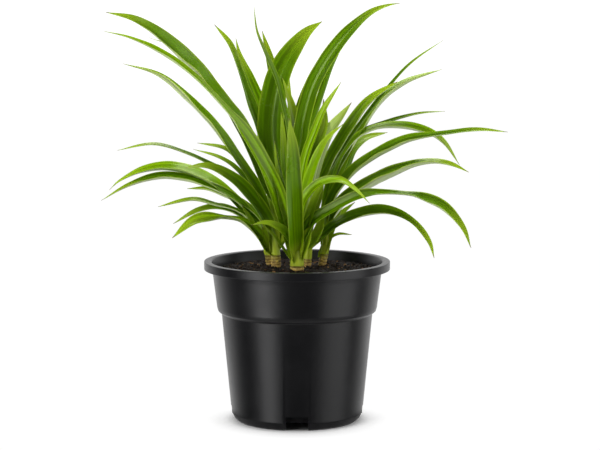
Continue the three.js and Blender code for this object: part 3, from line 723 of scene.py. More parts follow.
# %% Table of the plants
PLANTS = {
    "front": {
        "depth": -12, "cane_radius": 6.8,
        "cane": [(0, -47), (0, -41)],
        "stem": [(0, -41), (-1, -10), (-3, 34)],
        "leaves": [
            (20, -62, 0.45, (50, 35, 15, 35, 60, 60, 55), [(-5.1, -9.2), (-24, 47.9), (-47.1, 91.3),
             (-80.9, 133.6), (-105.9, 163.8), (-135.8, 191.9), (-165.6, 210.2), (-195.3, 217.2)],
             (50, 30, 18, 16, 18, 30, 50)),
            (18.7, -96, 0.85, (75, 70, 50, 8, 25, 20), [(-4.1, -21.4), (-11.2, 2.5), (-23.2, 40),
             (-46.6, 85.4), (-80.2, 127.6), (-109.7, 156.2), (-140.8, 177.3), (-170.5, 191.1),
             (-197.4, 197.9)], (75, 60, 36, 20, 18, 20)),
            (9, -40, 0.2, (50, 40, 20), [(-8, 5), (-30, 34), (-56, 91), (-80, 129), (-108, 156)]),
            (8, -14, 0.6, (-30, -40, -30), [(-10.2, 20.4), (-36.7, 68.3), (-59.2, 111.2), (-88.7, 149.9),
             (-117.3, 178.5), (-151, 191.2)]),
            (19.5, 50, 0.5, (45, 60, 35, 20, 50), [(-8.2, 20.4), (-23.5, 61.2), (-39.5, 103),
             (-49.1, 129.5), (-60.2, 162.2), (-69.1, 185.6), (-84.4, 204.7)]),
            (16.5, 95, 0.65, (60, 70, 50), [(-6.1, 20.4), (-23.5, 66.3), (-35.7, 116.3), (-49.2, 151),
             (-59.2, 175.4), (-62.5, 190.7)]),
            (7, -52, 0.5, (60, 60, 40), [(-4, 25), (-8, 97), (-14, 124), (-20, 148), (-33, 178),
             (-41, 198), (-44, 223)]),
            (16, 62, 0.4, (60, 70, 60), [(-6.1, 36.7), (-16.3, 87.7), (-21.1, 138.7), (-27.6, 168.3),
             (-35.7, 198.4)]),
            (30.5, 45, 0.5, (60, 75, 75, 70), [(-6.1, 17.3), (-23.5, 68.3), (-26.7, 102), (-23.5, 131.6),
             (-16.5, 157.8), (-4.9, 178.3), (11, 197.6), (25.5, 207.8)]),
            (13, -8, 0.15, (60, 70, 70), [(-1, -7.1), (1, 46.9), (-2, 107.1), (-10.2, 136.7),
             (-15.3, 151)]),
            (8, 85, 0.4, (60, 60, 60), [(-3, 36), (-7, 112), (-8, 140), (-8, 153)]),
            (20, -118, 0.4, (55, 62, 50), [(-1, -21.4), (-2.5, 10.2), (-3.8, 40.8), (-5.4, 76.5),
             (-8.4, 109.1)]),
            (9, -34, 0.5, (60, 60, 60), [(-4.1, 20.4), (-12.2, 56.1), (-14.3, 87.7), (-16.3, 115.3)]),
            (5, -30, 0.45, (60, 60, 60), [(-5, 16), (-20, 56), (-23, 86)]),
            (9, 70, 0.2, (60, 60, 50), [(0, 26), (-1, 105), (2, 120), (13, 150), (26, 172)]),
            (19.8, -20, 0.55, (65, 65, 60, 60, 40), [(0, -13.3), (1, 20.4), (2.5, 77.5), (6.6, 107.1),
             (15.8, 140.8), (31.7, 170.6), (51.9, 196.5), (75.7, 217.3), (90.8, 223.7), (105.1, 226.4)]),
            (10, 85, 0.45, (40, 45, 40), [(1, 34.7), (9.2, 86.7), (19.4, 117.3), (38.8, 171.4),
             (56.1, 200.4), (77.5, 216.2)]),
            (10, -60, 0.85, (60, 70, 60), [(0, 20.4), (8.2, 69.4), (17.9, 95.9), (27.5, 118.8),
             (44.9, 145.9)]),
            (14.5, -6, 0.5, (60, 60, 60), [(3.1, 30.6), (17.3, 76.5), (27.7, 103), (27, 128.5)]),
            (12, -80, 0.8, (55, 60, 40), [(2, 4), (11, 44), (19, 67), (30, 87), (47, 103)]),
            (12, -84, 0.85, (70, 60, 50, 30), [(2, -22), (3, 12), (7, 27), (23, 43), (44, 46), (61, 35),
             (74, 22)]),
            (11, -30, 0.6, (60, 60, 50), [(4, -18), (10, 3), (20, 30), (31, 50)]),
            (16.2, -72, 0.45, (55, 50, 40, 12, 60, 60), [(2, -19.4), (14.3, 3.6), (32.6, 15.3),
             (61.2, 29.6), (91.8, 33.1), (122.4, 30.1), (148.5, 19.9), (169.1, -2.2), (177.5, -23.5)],
             (55, 50, 50, 20, 26, 40)),
            (10, 104, 0.3, (70, 60, 50), [(-2, 20), (-2, 70), (-4, 102), (-6, 112), (-8, 104)]),
            (10, 112, 0.3, (70, 60, 50), [(0, 24), (3, 80), (8, 112), (11, 122), (14, 116)]),
            (12, -58, 0.6, (60, 50, 20), [(0, -35.7), (-4.1, -18.4), (-16.3, -4.1), (-31.6, 2),
             (-46.9, 0)]),
            (6, -28, 0.6, (30, 30, 30), [(-3, -38), (-10, -30), (-21, -14), (-34, 0)]),
            (8, 24, 0.1, (60, 60, 60), [(-7.1, -15.3), (-16.3, -3.1), (-24.5, 15.3), (-29.6, 33.7)]),
            (12, -14, 0.3, (60, 60, 60), [(5.1, -25.5), (16.3, -15.3), (23.5, -1), (26.5, 19.4)]),
            (15, -24, 0.7, (70, 70, 60), [(1, -37.7), (4.1, -26.5), (9.2, -13.3), (14.3, -1)]),
        ],
    },
    "left": {
        "depth": 10, "cane_radius": 4.8,
        "cane": [(-21, -44), (-22, -30)],
        "stem": [(-22, -30), (-25, -10), (-31, 14)],
        "leaves": [
            (13.6, -6, 0.6, (-20, -45, -45, -35), [(-25.5, -21.4), (-29, 7.7), (-38.8, 35.7),
             (-54.1, 59.1), (-80.7, 97.2), (-110.1, 128.4), (-141.8, 153.5), (-178, 164.8)],
             (60, 50, 36, 18, 6, 6)),
            (12.5, 6, 0.5, (30, 35, 30), [(-29.6, 3.1), (-44.9, 41.3), (-60.2, 67.1), (-73.4, 77.9),
             (-102, 83.8)]),
            (9, 12, 0.5, (30, 40, 30), [(-29.6, 5.1), (-44.9, 35.7), (-60.2, 56.1), (-77.5, 68.3),
             (-106.1, 77.5)]),
            (11.3, 4, 0.55, (35, 35, 15, 30), [(-30.6, 8.2), (-58.1, 43.9), (-83.6, 59.3),
             (-109.1, 72.1), (-145.9, 82.5), (-183.6, 76.2)]),
            (19, -22, 0.5, (50, 45, 30), [(-25.5, -5.1), (-42.8, 24.5), (-62.2, 45.4), (-82.6, 57.1),
             (-95.9, 60.4), (-114.2, 58.1)]),
            (14.5, -34, 0.85, (60, 45, 14, 70, 60), [(-28.6, -25.5), (-36.7, -12.2), (-45.9, -2.2),
             (-58.6, 5.1), (-83.6, 8), (-103.5, 5.7), (-127.5, -13.3)], (60, 30, 8, 35, 45)),
            (10, 28, 0.12, (60, 60, 60), [(-25.5, -10.2), (-22.4, 13.3), (-21.4, 35.7), (-23.5, 58.1)]),
            (11, 2, 0.5, (40, 30, 30), [(-28.6, -27.5), (-36.7, -12.2), (-46.4, 3.1), (-56.1, 19.4)]),
            (12, 14, 0.25, (60, 60, 60), [(-21.4, -25.5), (-17.3, -13.3), (-14.3, 3.1), (-13.3, 21.4)]),
            (12, 20, 0.2, (60, 60, 60), [(-22.4, -27.5), (-17.3, -19.4), (-12.2, -7.1), (-9.2, 10.2)]),
            (13, 8, 0.75, (60, 60, 40), [(-26.5, -27.5), (-30.6, -14.3), (-35.7, -2)]),
        ],
    },
    "left_back": {
        "depth": 26, "cane_radius": 4,
        "cane": [(-27, -42), (-29, -30)],
        "stem": [(-29, -30), (-33, -14), (-39, 3)],
        "leaves": [
            (14, 80, 0.8, (50, 50, 60, 30), [(-36.7, -8.2), (-55.1, 17.3), (-77.5, 38.8), (-102, 53.4),
             (-130.6, 59.9), (-158.1, 56.3), (-182.2, 44.3), (-191.5, 35.7)], (50, 40, 22, 20, 30)),
            (11.6, 70, 0.4, (35, 45, 55, 30), [(-37.7, -2), (-58.1, 23.5), (-79, 36.5), (-109.1, 47),
             (-140, 50.2), (-170.3, 41.5), (-199.9, 25)], (35, 25, 18, 20)),
            (11, 60, 0.4, (40, 40, 40), [(-34.7, 3.1), (-53, 20.9), (-72.4, 30.3), (-91.8, 37),
             (-112.2, 37.1)], (40, 20, 20)),
            (11, 36, 0.4, (40, 20, 40), [(-36.7, -6.1), (-60.2, 14.3), (-83.6, 20.8), (-106.1, 26.2),
             (-141.8, 18.7)], (40, 18, 18, 20)),
            (11.5, 50, 0.35, (40, 40, 40), [(-35.7, -8.2), (-58.1, 10.7), (-77.5, 18.5), (-98.9, 15.9),
             (-126.5, 1.3)], (40, 28, 32)),
            (10, 108, 0.3, (70, 60, 50), [(-32, -4), (-26, 34), (-20, 58), (-14, 60), (-8, 48)]),
            (9, 96, 0.3, (70, 60, 50), [(-32.6, 6.1), (-44.9, 29.6), (-52, 41.8), (-58.1, 47.9)]),
        ],
    },
    "right_back": {
        "depth": 15, "cane_radius": 3.6,
        "cane": [(11, -42), (11, -34)],
        "stem": [(11, -34), (13, -10), (13, 24)],
        "leaves": [
            (7, 12, 0.5, (40, 40, 30), [(14.3, 24.5), (35.7, 61.2), (57.6, 94.4), (89.5, 136.2),
             (115.1, 164.6), (148.9, 188.5)]),
            (14.5, 2, 0.75, (50, 60, 60), [(14.3, 22.4), (32.6, 65.8), (52.4, 99.8), (75, 128.8),
             (102.6, 146.4)], (50, 30, 25)),
            (15.5, -14, 0.7, (-60, -70, -60), [(12.2, 20.4), (18.4, 58.1), (32.6, 94.9), (44.9, 111.4),
             (55.6, 125.1)]),
            (9, 60, 0.2, (40, 50, 50), [(12, 28), (13, 74), (24, 94), (45, 113)]),
            (6, 6, 0.15, (50, 50, 50), [(14, 20), (26, 66), (31, 79)]),
            (10, 116, 0.25, (70, 60, 50), [(13, 10), (12, 50), (10, 72), (10, 76), (10, 62)]),
            (9, 96, 0.25, (70, 60, 50), [(12, 14), (6, 54), (0, 74), (-4, 77), (-8, 67)]),
            (14, -26, 0.5, (50, 50, 55, 35, 60), [(11.2, -24.5), (22.4, -12.8), (40.8, 2.4),
             (63.2, 12.2), (89.8, 15.3), (115.8, 5.2), (134.4, -16.3), (139.9, -33.7)],
             (50, 40, 24, 45, 60)),
            (8, 26, 0.12, (60, 60, 60), [(15.3, 3.1), (22.4, 25.5), (27.5, 47.9)]),
        ],
    },
    "right": {
        "depth": 24, "cane_radius": 3.9,
        "cane": [(25, -42), (28, -29)],
        "stem": [(28, -29), (30, -10), (29, 18)],
        "leaves": [
            (13.3, 80, 0.7, (-40, -45, -40), [(29.6, 20.4), (37.7, 51), (50, 73.8), (64.5, 98),
             (85.3, 127.3), (110.4, 145.9), (147.9, 158.9)], (50, 30, 14, 12)),
            (12.4, 55, 0.7, (60, 55, 30, 60, 50), [(28.6, 14.3), (38.8, 60.2), (53, 82.6), (73.4, 96.9),
             (103, 102), (133.6, 95.9), (149.9, 84.7), (165.8, 61.2)], (60, 40, 18, 20, 30)),
            (7, 75, 0.45, (40, 40, 40), [(30, 18), (47.9, 77.5), (64.3, 94.5), (92.8, 105.9),
             (125.5, 114.2), (151, 116.1)]),
            (16, 90, 0.4, (40, 40, 40), [(29.6, 15.3), (50, 58.1), (58.3, 76.9), (69.9, 88.5),
             (92.3, 94.6)]),
            (8, 50, 0.8, (60, 60, 60), [(29, 4), (39, 39), (51, 68), (61, 86)]),
            (14.2, -34, 0.5, (50, 50, 50, 25, 40), [(28.6, 3.6), (36.7, 30.6), (54.6, 53.8), (82.9, 74),
             (111.5, 87.2), (143.8, 92.5), (184.6, 97.3), (215.2, 94.9)], (40, 25, 16, 28, 50)),
            (17, -6, 0.45, (50, 50, 55, 30, 40), [(29.6, 1.5), (47.9, 25.9), (73.2, 43), (103.8, 56.9),
             (135.7, 64.5), (157.1, 62.2), (175.4, 53.8)], (40, 24, 12, 12, 40)),
            (5, 20, 0.2, (40, 40, 40), [(24.5, -28.6), (28.6, -18.4), (40.8, -9.5), (56.1, -9.8)]),
            (8, 46, 0.8, (60, 55, 50), [(28.6, -23.5), (34.7, -7.1), (43.9, 10.2), (59.2, 23.5)]),
            (10, 96, 0.3, (70, 60, 50), [(30.6, 0), (32.6, 25.5), (34.7, 41.8), (37.7, 47.9)]),
            (10, 114, 0.3, (70, 60, 50), [(29.6, 8.2), (34.7, 39.8), (39.8, 54.1), (43.9, 56.1)]),
            (12, 38, 0.5, (50, 40, 40), [(29.6, -27.5), (33.7, -11.2), (38.8, 3.1), (45.9, 19.4)]),
            (11, 18, 0.6, (60, 60, 50), [(24.5, -31.6), (29.6, -19.4), (34.7, -6.1), (38.8, 6.1)]),
        ],
    },
}
print(len(PLANTS), "plants with", sum(len(p["leaves"]) for p in PLANTS.values()), "leaves")

# %% [markdown]
# ## Soil
# The soil fills the pot to a finger's width below the rim. Its top is a fine grid that is
# raised and lowered by noise, a little heaped round each cane, and it is strewn with real
# crumbs and slivers of bark, because single crumbs catching the light are what make soil
# look like soil.

# %% Shape of the soil's top
GAP = 0.3
SOIL_EDGE_HEIGHT = 153.6
SOIL_CROWN = 1.2
SOIL_RIPPLE = 0.9
SOIL_EDGE_RADIUS = POT_INSIDE[-1][0] - GAP + 0.1
SOIL_RINGS = 70
SOIL_SEGMENTS = 200
SOIL_EDGE_BAND = 14  # mm, where the ripples fade out towards the pot
LUMP = 1.1  # mm, how far noise lifts or lowers the top
HEAP = 1.2
HEAP_WIDTH = 4
FOOT_Z = NOTCH_HEIGHT + WALL + GAP
FOOT_INSIDE = NOTCH_DEPTH_RADIUS - WALL - GAP


def cane_ends(plant):
    """Where a cane enters the soil, and where its leaves begin."""
    return place(plant["cane"][0], plant["depth"]), place(plant["cane"][1], plant["depth"])


CANE_FEET = [(cane_ends(p)[0], p["cane_radius"]) for p in PLANTS.values()]


def soil_height(x, y):
    radius = math.hypot(x, y)
    crown = SOIL_CROWN * smoothstep(1 - radius / SOIL_EDGE_RADIUS, 0, 1)
    from_edge = smoothstep(SOIL_EDGE_RADIUS - radius, 0, SOIL_EDGE_BAND)
    ripple = math.sin(x * 0.19 + 1) * math.cos(y * 0.23) + 0.6 * math.sin(x * 0.41 + y * 0.37)
    lumps = noise.fractal(Vector((x * 0.16, y * 0.16, 3.1)), 0.7, 2.1, 4)
    heap = sum(HEAP * math.exp(-((math.hypot(x - foot[0], y - foot[1]) - r) / HEAP_WIDTH) ** 2)
               for foot, r in CANE_FEET)
    return SOIL_EDGE_HEIGHT + crown + SOIL_RIPPLE * from_edge * ripple + LUMP * lumps + heap


def soil_bed():
    """The bed itself: the ground's rings, the wall and the bottom, which clears the notches."""
    wall = [(r - GAP, z) for r, z in POT_INSIDE]
    wall[0] = (wall[0][0], FOOT_Z)
    profile = [(0, FLOOR_TOP + GAP), (FOOT_INSIDE, FLOOR_TOP + GAP), (FOOT_INSIDE, FOOT_Z), *wall]
    for i in range(SOIL_RINGS):
        profile.append((SOIL_EDGE_RADIUS * (1 - i / SOIL_RINGS), SOIL_EDGE_HEIGHT))
    profile.append((0, SOIL_EDGE_HEIGHT))
    points, faces = turned(profile, SOIL_SEGMENTS)
    for point in points:
        if point[2] >= SOIL_EDGE_HEIGHT:
            point[2] = soil_height(point[0], point[1])
    return points, faces


print("the soil stands", round(soil_height(0, 0), 1), "mm high at the pot's axis")

# %% Crumbs and slivers
CRUMBS = 3400
CRUMB_SIZES = (0.35, 1.6)  # mm, the smallest and the largest
SLIVERS = 150
SLIVER_SIZES = (0.35, 0.8)
CLEAR_OF_WALL = 2.5
CLEAR_OF_CANE = 0.8
random.seed(11)


def crumb(size, stretch):
    """A small lump with an uneven skin, as points and triangles."""
    ball = bmesh.new()
    bmesh.ops.create_icosphere(ball, subdivisions=1, radius=1)
    shape = [Vector(v.co) * random.uniform(0.7, 1.25) for v in ball.verts]
    faces = [tuple(v.index for v in f.verts) for f in ball.faces]
    ball.free()
    way = Vector((random.uniform(-1, 1), random.uniform(-1, 1), random.uniform(-0.3, 0.3)))
    spun = way.normalized().to_track_quat("X", "Z")
    squash = Vector((stretch, 1, random.uniform(0.55, 0.9)))
    return [spun @ Vector(p * s for p, s in zip(v, squash)) * size for v in shape], faces


def scatter(count, sizes, stretches, colours):
    """Crumbs strewn over the soil, clear of the canes, with a colour number for each."""
    points, faces, values = [], [], []
    while count:
        angle = random.uniform(0, math.tau)
        radius = (SOIL_EDGE_RADIUS - CLEAR_OF_WALL) * math.sqrt(random.random())
        x, y = radius * math.cos(angle), radius * math.sin(angle)
        if any(math.hypot(x - foot[0], y - foot[1]) < r + CLEAR_OF_CANE for foot, r in CANE_FEET):
            continue
        size = sizes[0] + (sizes[1] - sizes[0]) * random.random() ** 2.5
        lump, sides = crumb(size, random.uniform(*stretches))
        start = len(points)
        lift = soil_height(x, y) + size * random.uniform(0.0, 0.5)
        points += [(x + v.x, y + v.y, lift + v.z) for v in lump]
        faces += [tuple(start + i for i in side) for side in sides]
        values += [random.uniform(*colours)] * len(lump)
        count -= 1
    return points, faces, values


print(CRUMBS, "crumbs and", SLIVERS, "slivers to strew")

# %% Build the soil
def build_soil():
    points, faces = soil_bed()
    points = points.tolist()
    values = [0.0] * len(points)
    crumbs = scatter(CRUMBS, CRUMB_SIZES, (1.0, 1.5), (0.0, 1.0))
    slivers = scatter(SLIVERS, SLIVER_SIZES, (3.0, 7.0), (0.6, 1.0))
    for more_points, more_faces, more_values in (crumbs, slivers):
        start = len(points)
        points += more_points
        faces += [tuple(start + i for i in side) for side in more_faces]
        values += more_values
    return make_piece("soil_bed", points, faces, {"crumb": values}, POTTING_SOIL, 60)


soil = build_soil()
hand_over(soil, "soil")

# %% [markdown]
# ## Canes
# A cane is a tube whose radius swells a little between its rings and pinches at each one.
# Real rings aren't quite level, so each ring's height wavers round the cane.

# %% Build the canes
CANE_DEPTH = 38
SCAR_STEP = 3.1
SCAR_SWELL = 0.45
SCAR_GROOVE = 0.35
SCAR_LINE_SHARE = 0.3  # of the way from one scar to the next
CANE_DENT = 0.25
CANE_TRIM = 0.15  # mm, so that the swellings stay at the cane's radius
CANE_SIDES = 56
ROWS_PER_SCAR = 9


def build_cane(name, plant):
    foot, top = cane_ends(plant)
    axis = unit(top - foot)
    side = unit(np.cross((1.0, 0, 0), axis))
    other = np.cross(axis, side)
    bare = np.linalg.norm(top - foot)
    scars = max(2, round((bare + SCAR_STEP) / SCAR_STEP))
    step = (bare + SCAR_STEP) / scars
    rows = np.r_[-CANE_DEPTH, np.linspace(-SCAR_STEP, bare - GAP, scars * ROWS_PER_SCAR)]
    angles = np.arange(CANE_SIDES) * math.tau / CANE_SIDES
    points, ring, young = [], [], []
    spots = [(row, angle) for row in rows for angle in angles]
    for row, angle in spots:
        cos, sin = math.cos(angle), math.sin(angle)
        waver = 0.35 * math.sin(angle + 1.3) + 0.2 * math.sin(2 * angle + row)
        phase = (((row + SCAR_STEP + waver) / step) % 1.0) if row > -SCAR_STEP else 0.5
        line = max(0.0, 1 - abs(phase - 0.5) * 2 / SCAR_LINE_SHARE)
        swell = SCAR_SWELL * math.sin(math.pi * ((phase + 0.5) % 1.0)) ** 0.6 - SCAR_GROOVE * line
        dent = CANE_DENT * noise.noise(Vector((cos * 2, sin * 2, row * 0.4)))
        radius = plant["cane_radius"] + swell + dent - CANE_TRIM
        points.append(foot + axis * row + radius * (side * cos + other * sin))
        ring.append(line)
        young.append(float(smoothstep(row / bare, 0.25, 1.1)))
    points = points + [foot - axis * CANE_DEPTH, foot + axis * (bare - GAP)]
    faces = ring_faces(len(rows), CANE_SIDES)
    faces += cap_faces(len(points) - 2, len(points) - 1, (len(rows) - 1) * CANE_SIDES, CANE_SIDES)
    values = {"ring": ring + [0, 0], "young": young + [0, 1]}
    cane = make_piece("ringed_cane_" + name, points, faces, values, CANE_SKIN, 80)
    hand_over(cane, "cane_" + name)


for name, plant in PLANTS.items():
    build_cane(name, plant)

# %% [markdown]
# ## Leaves
# A leaf is a long closed blade about half a millimetre thick. At its foot it is curved round
# the stem like a gutter, and it opens into a shallow channel along the rib, which keeps so
# long a leaf stiff. The cross section is worked out at each step along the line and turned
# to the leaf's face angle there. The margins waver a little, as no leaf is ruler-straight.
#
# Some leaves are rolled as they arch, so that a pale band of their underside shows along the
# lower margin. These have a second list of face angles, which turns the blade further, and
# the turned section is then drawn out to the same width as the plain one.

# %% Lines and widths of the leaves
LEAF_STEP = 3.6  # mm along the blade between cross sections
LEAF_LANES = 9  # points across the blade
LEAF_THICKNESS = 0.55
LEAF_EDGE_THICKNESS = 0.25
LEAF_FOLD = math.radians(24)
ROLL_FOLD = math.radians(34)  # of the leaves that show their undersides
ROLL_WIDEST = 2.2
LEAF_CLASP = 1.4  # radians to each side at the foot of the blade
CLASP_LENGTH = 26.0
LEAF_TIP_WIDTH = 0.5
LEAF_WIDE = 18.0  # mm, the widest leaf, against which widths are counted
LEAF_BASE_SHARE = 0.9
LEAF_WIDEST_AT = 0.35
LEAF_TAPER = 3.6
GOLDEN_ANGLE = math.radians(137.5)
ROOT_SPREAD = 1.3
ROOT_DROP = 20


def leaf_line(plant, tip_depth, points, turn):
    """The leaf's rib from its root on the stem to its tip, in space."""
    foot, top = plant["stem"][0], plant["stem"][-1]
    root_up = max(points[0][1] - ROOT_DROP, foot[1] + 1)
    climb = min(max((root_up - foot[1]) / (top[1] - foot[1]), 0), 0.95)
    on_sheet = np.array([(foot[0] + (top[0] - foot[0]) * climb, root_up), *points])
    lengths = np.r_[0, np.cumsum(np.linalg.norm(np.diff(on_sheet, axis=0), axis=1))]
    depths = plant["depth"] + (tip_depth - plant["depth"]) * lengths / lengths[-1]
    placed = np.array([place(point, depth) for point, depth in zip(on_sheet, depths)])
    placed[0] += (ROOT_SPREAD * math.cos(turn), ROOT_SPREAD * math.sin(turn), 0)
    return smooth_curve(placed)


def leaf_width(width, t):
    """The blade's width where t goes from 0 at its base to 1 at its tip."""
    rise = smoothstep(t, 0, LEAF_WIDEST_AT)
    fall = np.maximum(0, (t - LEAF_WIDEST_AT) / (1 - LEAF_WIDEST_AT)) ** LEAF_TAPER
    share = (LEAF_BASE_SHARE + (1 - LEAF_BASE_SHARE) * rise) * (1 - fall)
    return np.maximum(width * share, LEAF_TIP_WIDTH)


def along_list(values, t):
    """Eases from each value of a list to the next as t goes from 0 to 1."""
    at = np.minimum(t, 0.9999) * (len(values) - 1)
    i = at.astype(int)
    values = np.asarray(values, float)
    return values[i] + (values[i + 1] - values[i]) * smoothstep(at - i, 0, 1)


print("a leaf 20 mm wide is", round(float(leaf_width(20, 0.8)), 1), "mm wide near its tip")

# %% Face the blades
def upper_sides(middle, tangent, lean, face_angles):
    """The way that the blade's upper side faces at each step."""
    sight = unit(VIEWPOINT - middle)
    upward = unit(np.cross(tangent, sight)) * -lean
    forward = unit(sight - tangent * np.sum(sight * tangent, axis=1, keepdims=True))
    angle = np.radians(face_angles)[:, None]
    return upward * np.cos(angle) + forward * np.sin(angle)


print("half way along face angles 0 and 90:", along_list((0, 90), np.array([0.5]))[0])

# %% Shape the cross sections of a blade
RIB_ROUNDING = 0.1  # of the half width, over which the fold is rounded


def section(shape, face_angles, fold):
    """The upper and lower skin round the line, one row for each step along the blade."""
    half, lane, clasp = shape["half"], shape["lane"], shape["clasp"]
    upper = upper_sides(shape["middle"], shape["tangent"], shape["lean"], face_angles)
    across = np.cross(upper, shape["tangent"])
    rounded = np.sqrt(lane ** 2 + RIB_ROUNDING ** 2) - RIB_ROUNDING
    shallow_side = half * lane * np.cos(fold)
    shallow_up = half * np.sin(fold) * (rounded - 0.5)
    bend = LEAF_CLASP * lane
    gutter_side = half / LEAF_CLASP * np.sin(bend)
    gutter_up = half / LEAF_CLASP * (1 - np.cos(bend)) - half * 0.3
    side = (shallow_side + (gutter_side - shallow_side) * clasp)[..., None]
    up = (shallow_up + (gutter_up - shallow_up) * clasp + shape["waver"])[..., None]
    thick = shape["thick"][..., None]
    return [across[:, None] * side + upper[:, None] * (up + way * thick) for way in (0.5, -0.5)]


def fitted(shape, plain, rolled):
    """The rolled section, drawn to cover the same width to the front as the plain one."""
    sight = unit(VIEWPOINT - shape["middle"])
    level = unit(np.cross(shape["tangent"], sight))[:, None]
    spans = []
    for skins in (plain, rolled):
        reach = np.concatenate([np.sum(skin * level, axis=2) for skin in skins], axis=1)
        spans.append((reach.min(axis=1), reach.max(axis=1)))
    (low, high), (rolled_low, rolled_high) = spans
    share = np.minimum((high - low) / np.maximum(rolled_high - rolled_low, 0.1), ROLL_WIDEST)
    slide = (low + high) / 2 - (rolled_low + rolled_high) / 2 * share
    return [skin * share[:, None, None] + level * slide[:, None, None] for skin in rolled]


print("fold to each side:", round(math.degrees(LEAF_FOLD)), "degrees, or",
      round(math.degrees(ROLL_FOLD)), "where a leaf rolls")

# %% Build one blade
FEWEST_STEPS = 20
MOST_STEPS = 76
WAVER = 0.035  # of the half width
WAVER_LENGTHS = (11.0, 4.7)  # mm along the blade


def blade(plant, leaf, index):
    """Points, faces and numbers of one closed blade."""
    width, tip_depth, tone, face_angles, line_points, *roll = leaf
    curve = leaf_line(plant, tip_depth, line_points, index * GOLDEN_ANGLE)
    length = evenly(curve, 2)[1]
    steps = int(min(max(length / LEAF_STEP, FEWEST_STEPS), MOST_STEPS))
    middle = evenly(curve, steps + 1)[0]
    t = np.linspace(0, 1, steps + 1)
    half = (leaf_width(width, t) / 2)[:, None]
    travelled = (t * length)[:, None]
    lane = np.linspace(-1, 1, LEAF_LANES)[None, :]
    phase = index * 2.4 + lane * 0.8
    long_wave, short_wave = WAVER_LENGTHS
    wave = np.sin(travelled / long_wave + phase) + 0.6 * np.sin(travelled / short_wave - phase)
    thick = LEAF_THICKNESS + (LEAF_EDGE_THICKNESS - LEAF_THICKNESS) * np.abs(lane) ** 1.5
    shape = {
        "middle": middle,
        "tangent": unit(np.gradient(middle, axis=0)),
        "lean": np.sign(line_points[-1][0] - plant["stem"][0][0]),
        "half": half,
        "lane": lane,
        "clasp": 1 - smoothstep(travelled, 0, CLASP_LENGTH),
        "thick": thick * (1 - 0.6 * smoothstep(t, 0.75, 1.0)[:, None]),
        "waver": WAVER * half * lane ** 2 * wave,
    }
    skins = section(shape, along_list(face_angles, t), LEAF_FOLD)
    if roll:
        skins = fitted(shape, skins, section(shape, along_list(roll[0], t), ROLL_FOLD))
    skins = [middle[:, None] + skin for skin in skins]
    rings = np.concatenate([skins[0], skins[1][:, ::-1]], axis=1)
    sides = 2 * LEAF_LANES
    faces = ring_faces(steps + 1, sides)
    last = steps * sides
    for j in range(LEAF_LANES - 1):
        a, b, c, d = j, j + 1, sides - 2 - j, sides - 1 - j
        faces.append((d, c, b, a))
        faces.append((last + a, last + b, last + c, last + d))
    lanes = np.tile(np.r_[lane[0], lane[0][::-1]], steps + 1)
    values = {
        "across": lanes,
        "under": np.tile(np.r_[np.zeros(LEAF_LANES), np.ones(LEAF_LANES)], steps + 1),
        "from_base": np.repeat(travelled[:, 0], sides),
        "from_tip": np.repeat(length - travelled[:, 0], sides),
        "tone": np.full(len(lanes), tone),
        "width": np.repeat(half[:, 0] * 2, sides) / LEAF_WIDE,
    }
    return rings.reshape(-1, 3), faces, values


print("the first leaf has", len(blade(PLANTS["front"], PLANTS["front"]["leaves"][0], 0)[0]), "points")

# %% Shape the green stems
STEM_SIDES = 32
STEM_STEPS = 24
STEM_TIP_RADIUS = 2
STEM_CLEAR = 0.4  # mm wider than the cane that it stands on
STEM_TONE = 0.85


def stem(plant):
    """The green core that the leaves clasp."""
    line = smooth_curve([place(point, plant["depth"]) for point in plant["stem"]])
    middle, length = evenly(line, STEM_STEPS + 1)
    t = np.linspace(0, 1, STEM_STEPS + 1)
    widest = plant["cane_radius"] + STEM_CLEAR
    radius = widest + (STEM_TIP_RADIUS - widest) * t ** 1.3
    angles = np.arange(STEM_SIDES) * math.tau / STEM_SIDES
    circle = np.column_stack([np.cos(angles), np.sin(angles), np.zeros(STEM_SIDES)])
    points = (middle[:, None] + radius[:, None, None] * circle[None]).reshape(-1, 3)
    faces = ring_faces(STEM_STEPS + 1, STEM_SIDES)
    faces.append(tuple(range(STEM_SIDES - 1, -1, -1)))
    faces.append(tuple(STEM_STEPS * STEM_SIDES + j for j in range(STEM_SIDES)))
    count = len(points)
    values = {
        "across": np.tile(np.cos(angles) * 0.6, STEM_STEPS + 1),
        "under": np.full(count, 0.3),
        "from_base": np.repeat(t * length, STEM_SIDES),
        "from_tip": np.full(count, 100.0),
        "tone": np.full(count, STEM_TONE),
        "width": np.full(count, 0.5),
    }
    return points, faces, values


print("a stem has", len(stem(PLANTS["front"])[0]), "points")

# %% Build the five heads of leaves
def build_head(name, plant):
    parts = [stem(plant)] + [blade(plant, leaf, i) for i, leaf in enumerate(plant["leaves"])]
    points, faces = [], []
    values = {label: [] for label in parts[0][2]}
    for part_points, part_faces, part_values in parts:
        start = len(points)
        points.extend(part_points.tolist())
        faces.extend(tuple(start + i for i in face) for face in part_faces)
        for label in values:
            values[label].extend(part_values[label])
    head = make_piece("leafy_head_" + name, points, faces, values, LEAF_SKIN, 70)
    hand_over(head, "leaves_" + name)


for name, plant in PLANTS.items():
    build_head(name, plant)

# %% [markdown]
# ## Floor
# The plant stands on a plain white sweep, as in a shop's picture. A plane with a glow of its
# own stays pure white away from the pot, and a plain matt white close to it takes the pot's
# soft shade, with painted shade added: the white darkens and the glow fades out towards the
# foot. The pot would mirror so bright a floor, so the floor is hidden from mirror rays, and
# a small grey disc takes its place for them, just round the foot.

# %% Lay the floor
FLOOR_SIZE = 14.0
FLOOR_GREY = (0.6, 0.6, 0.6, 1.0)
FLOOR_GLOW = 0.34
POT_FOOT = 0.058  # metres from the axis, where the pot stands on the floor
SHADE_END = 0.102  # metres from the axis, where the pot's shade has faded
CLEAN_WHITE = 1.02


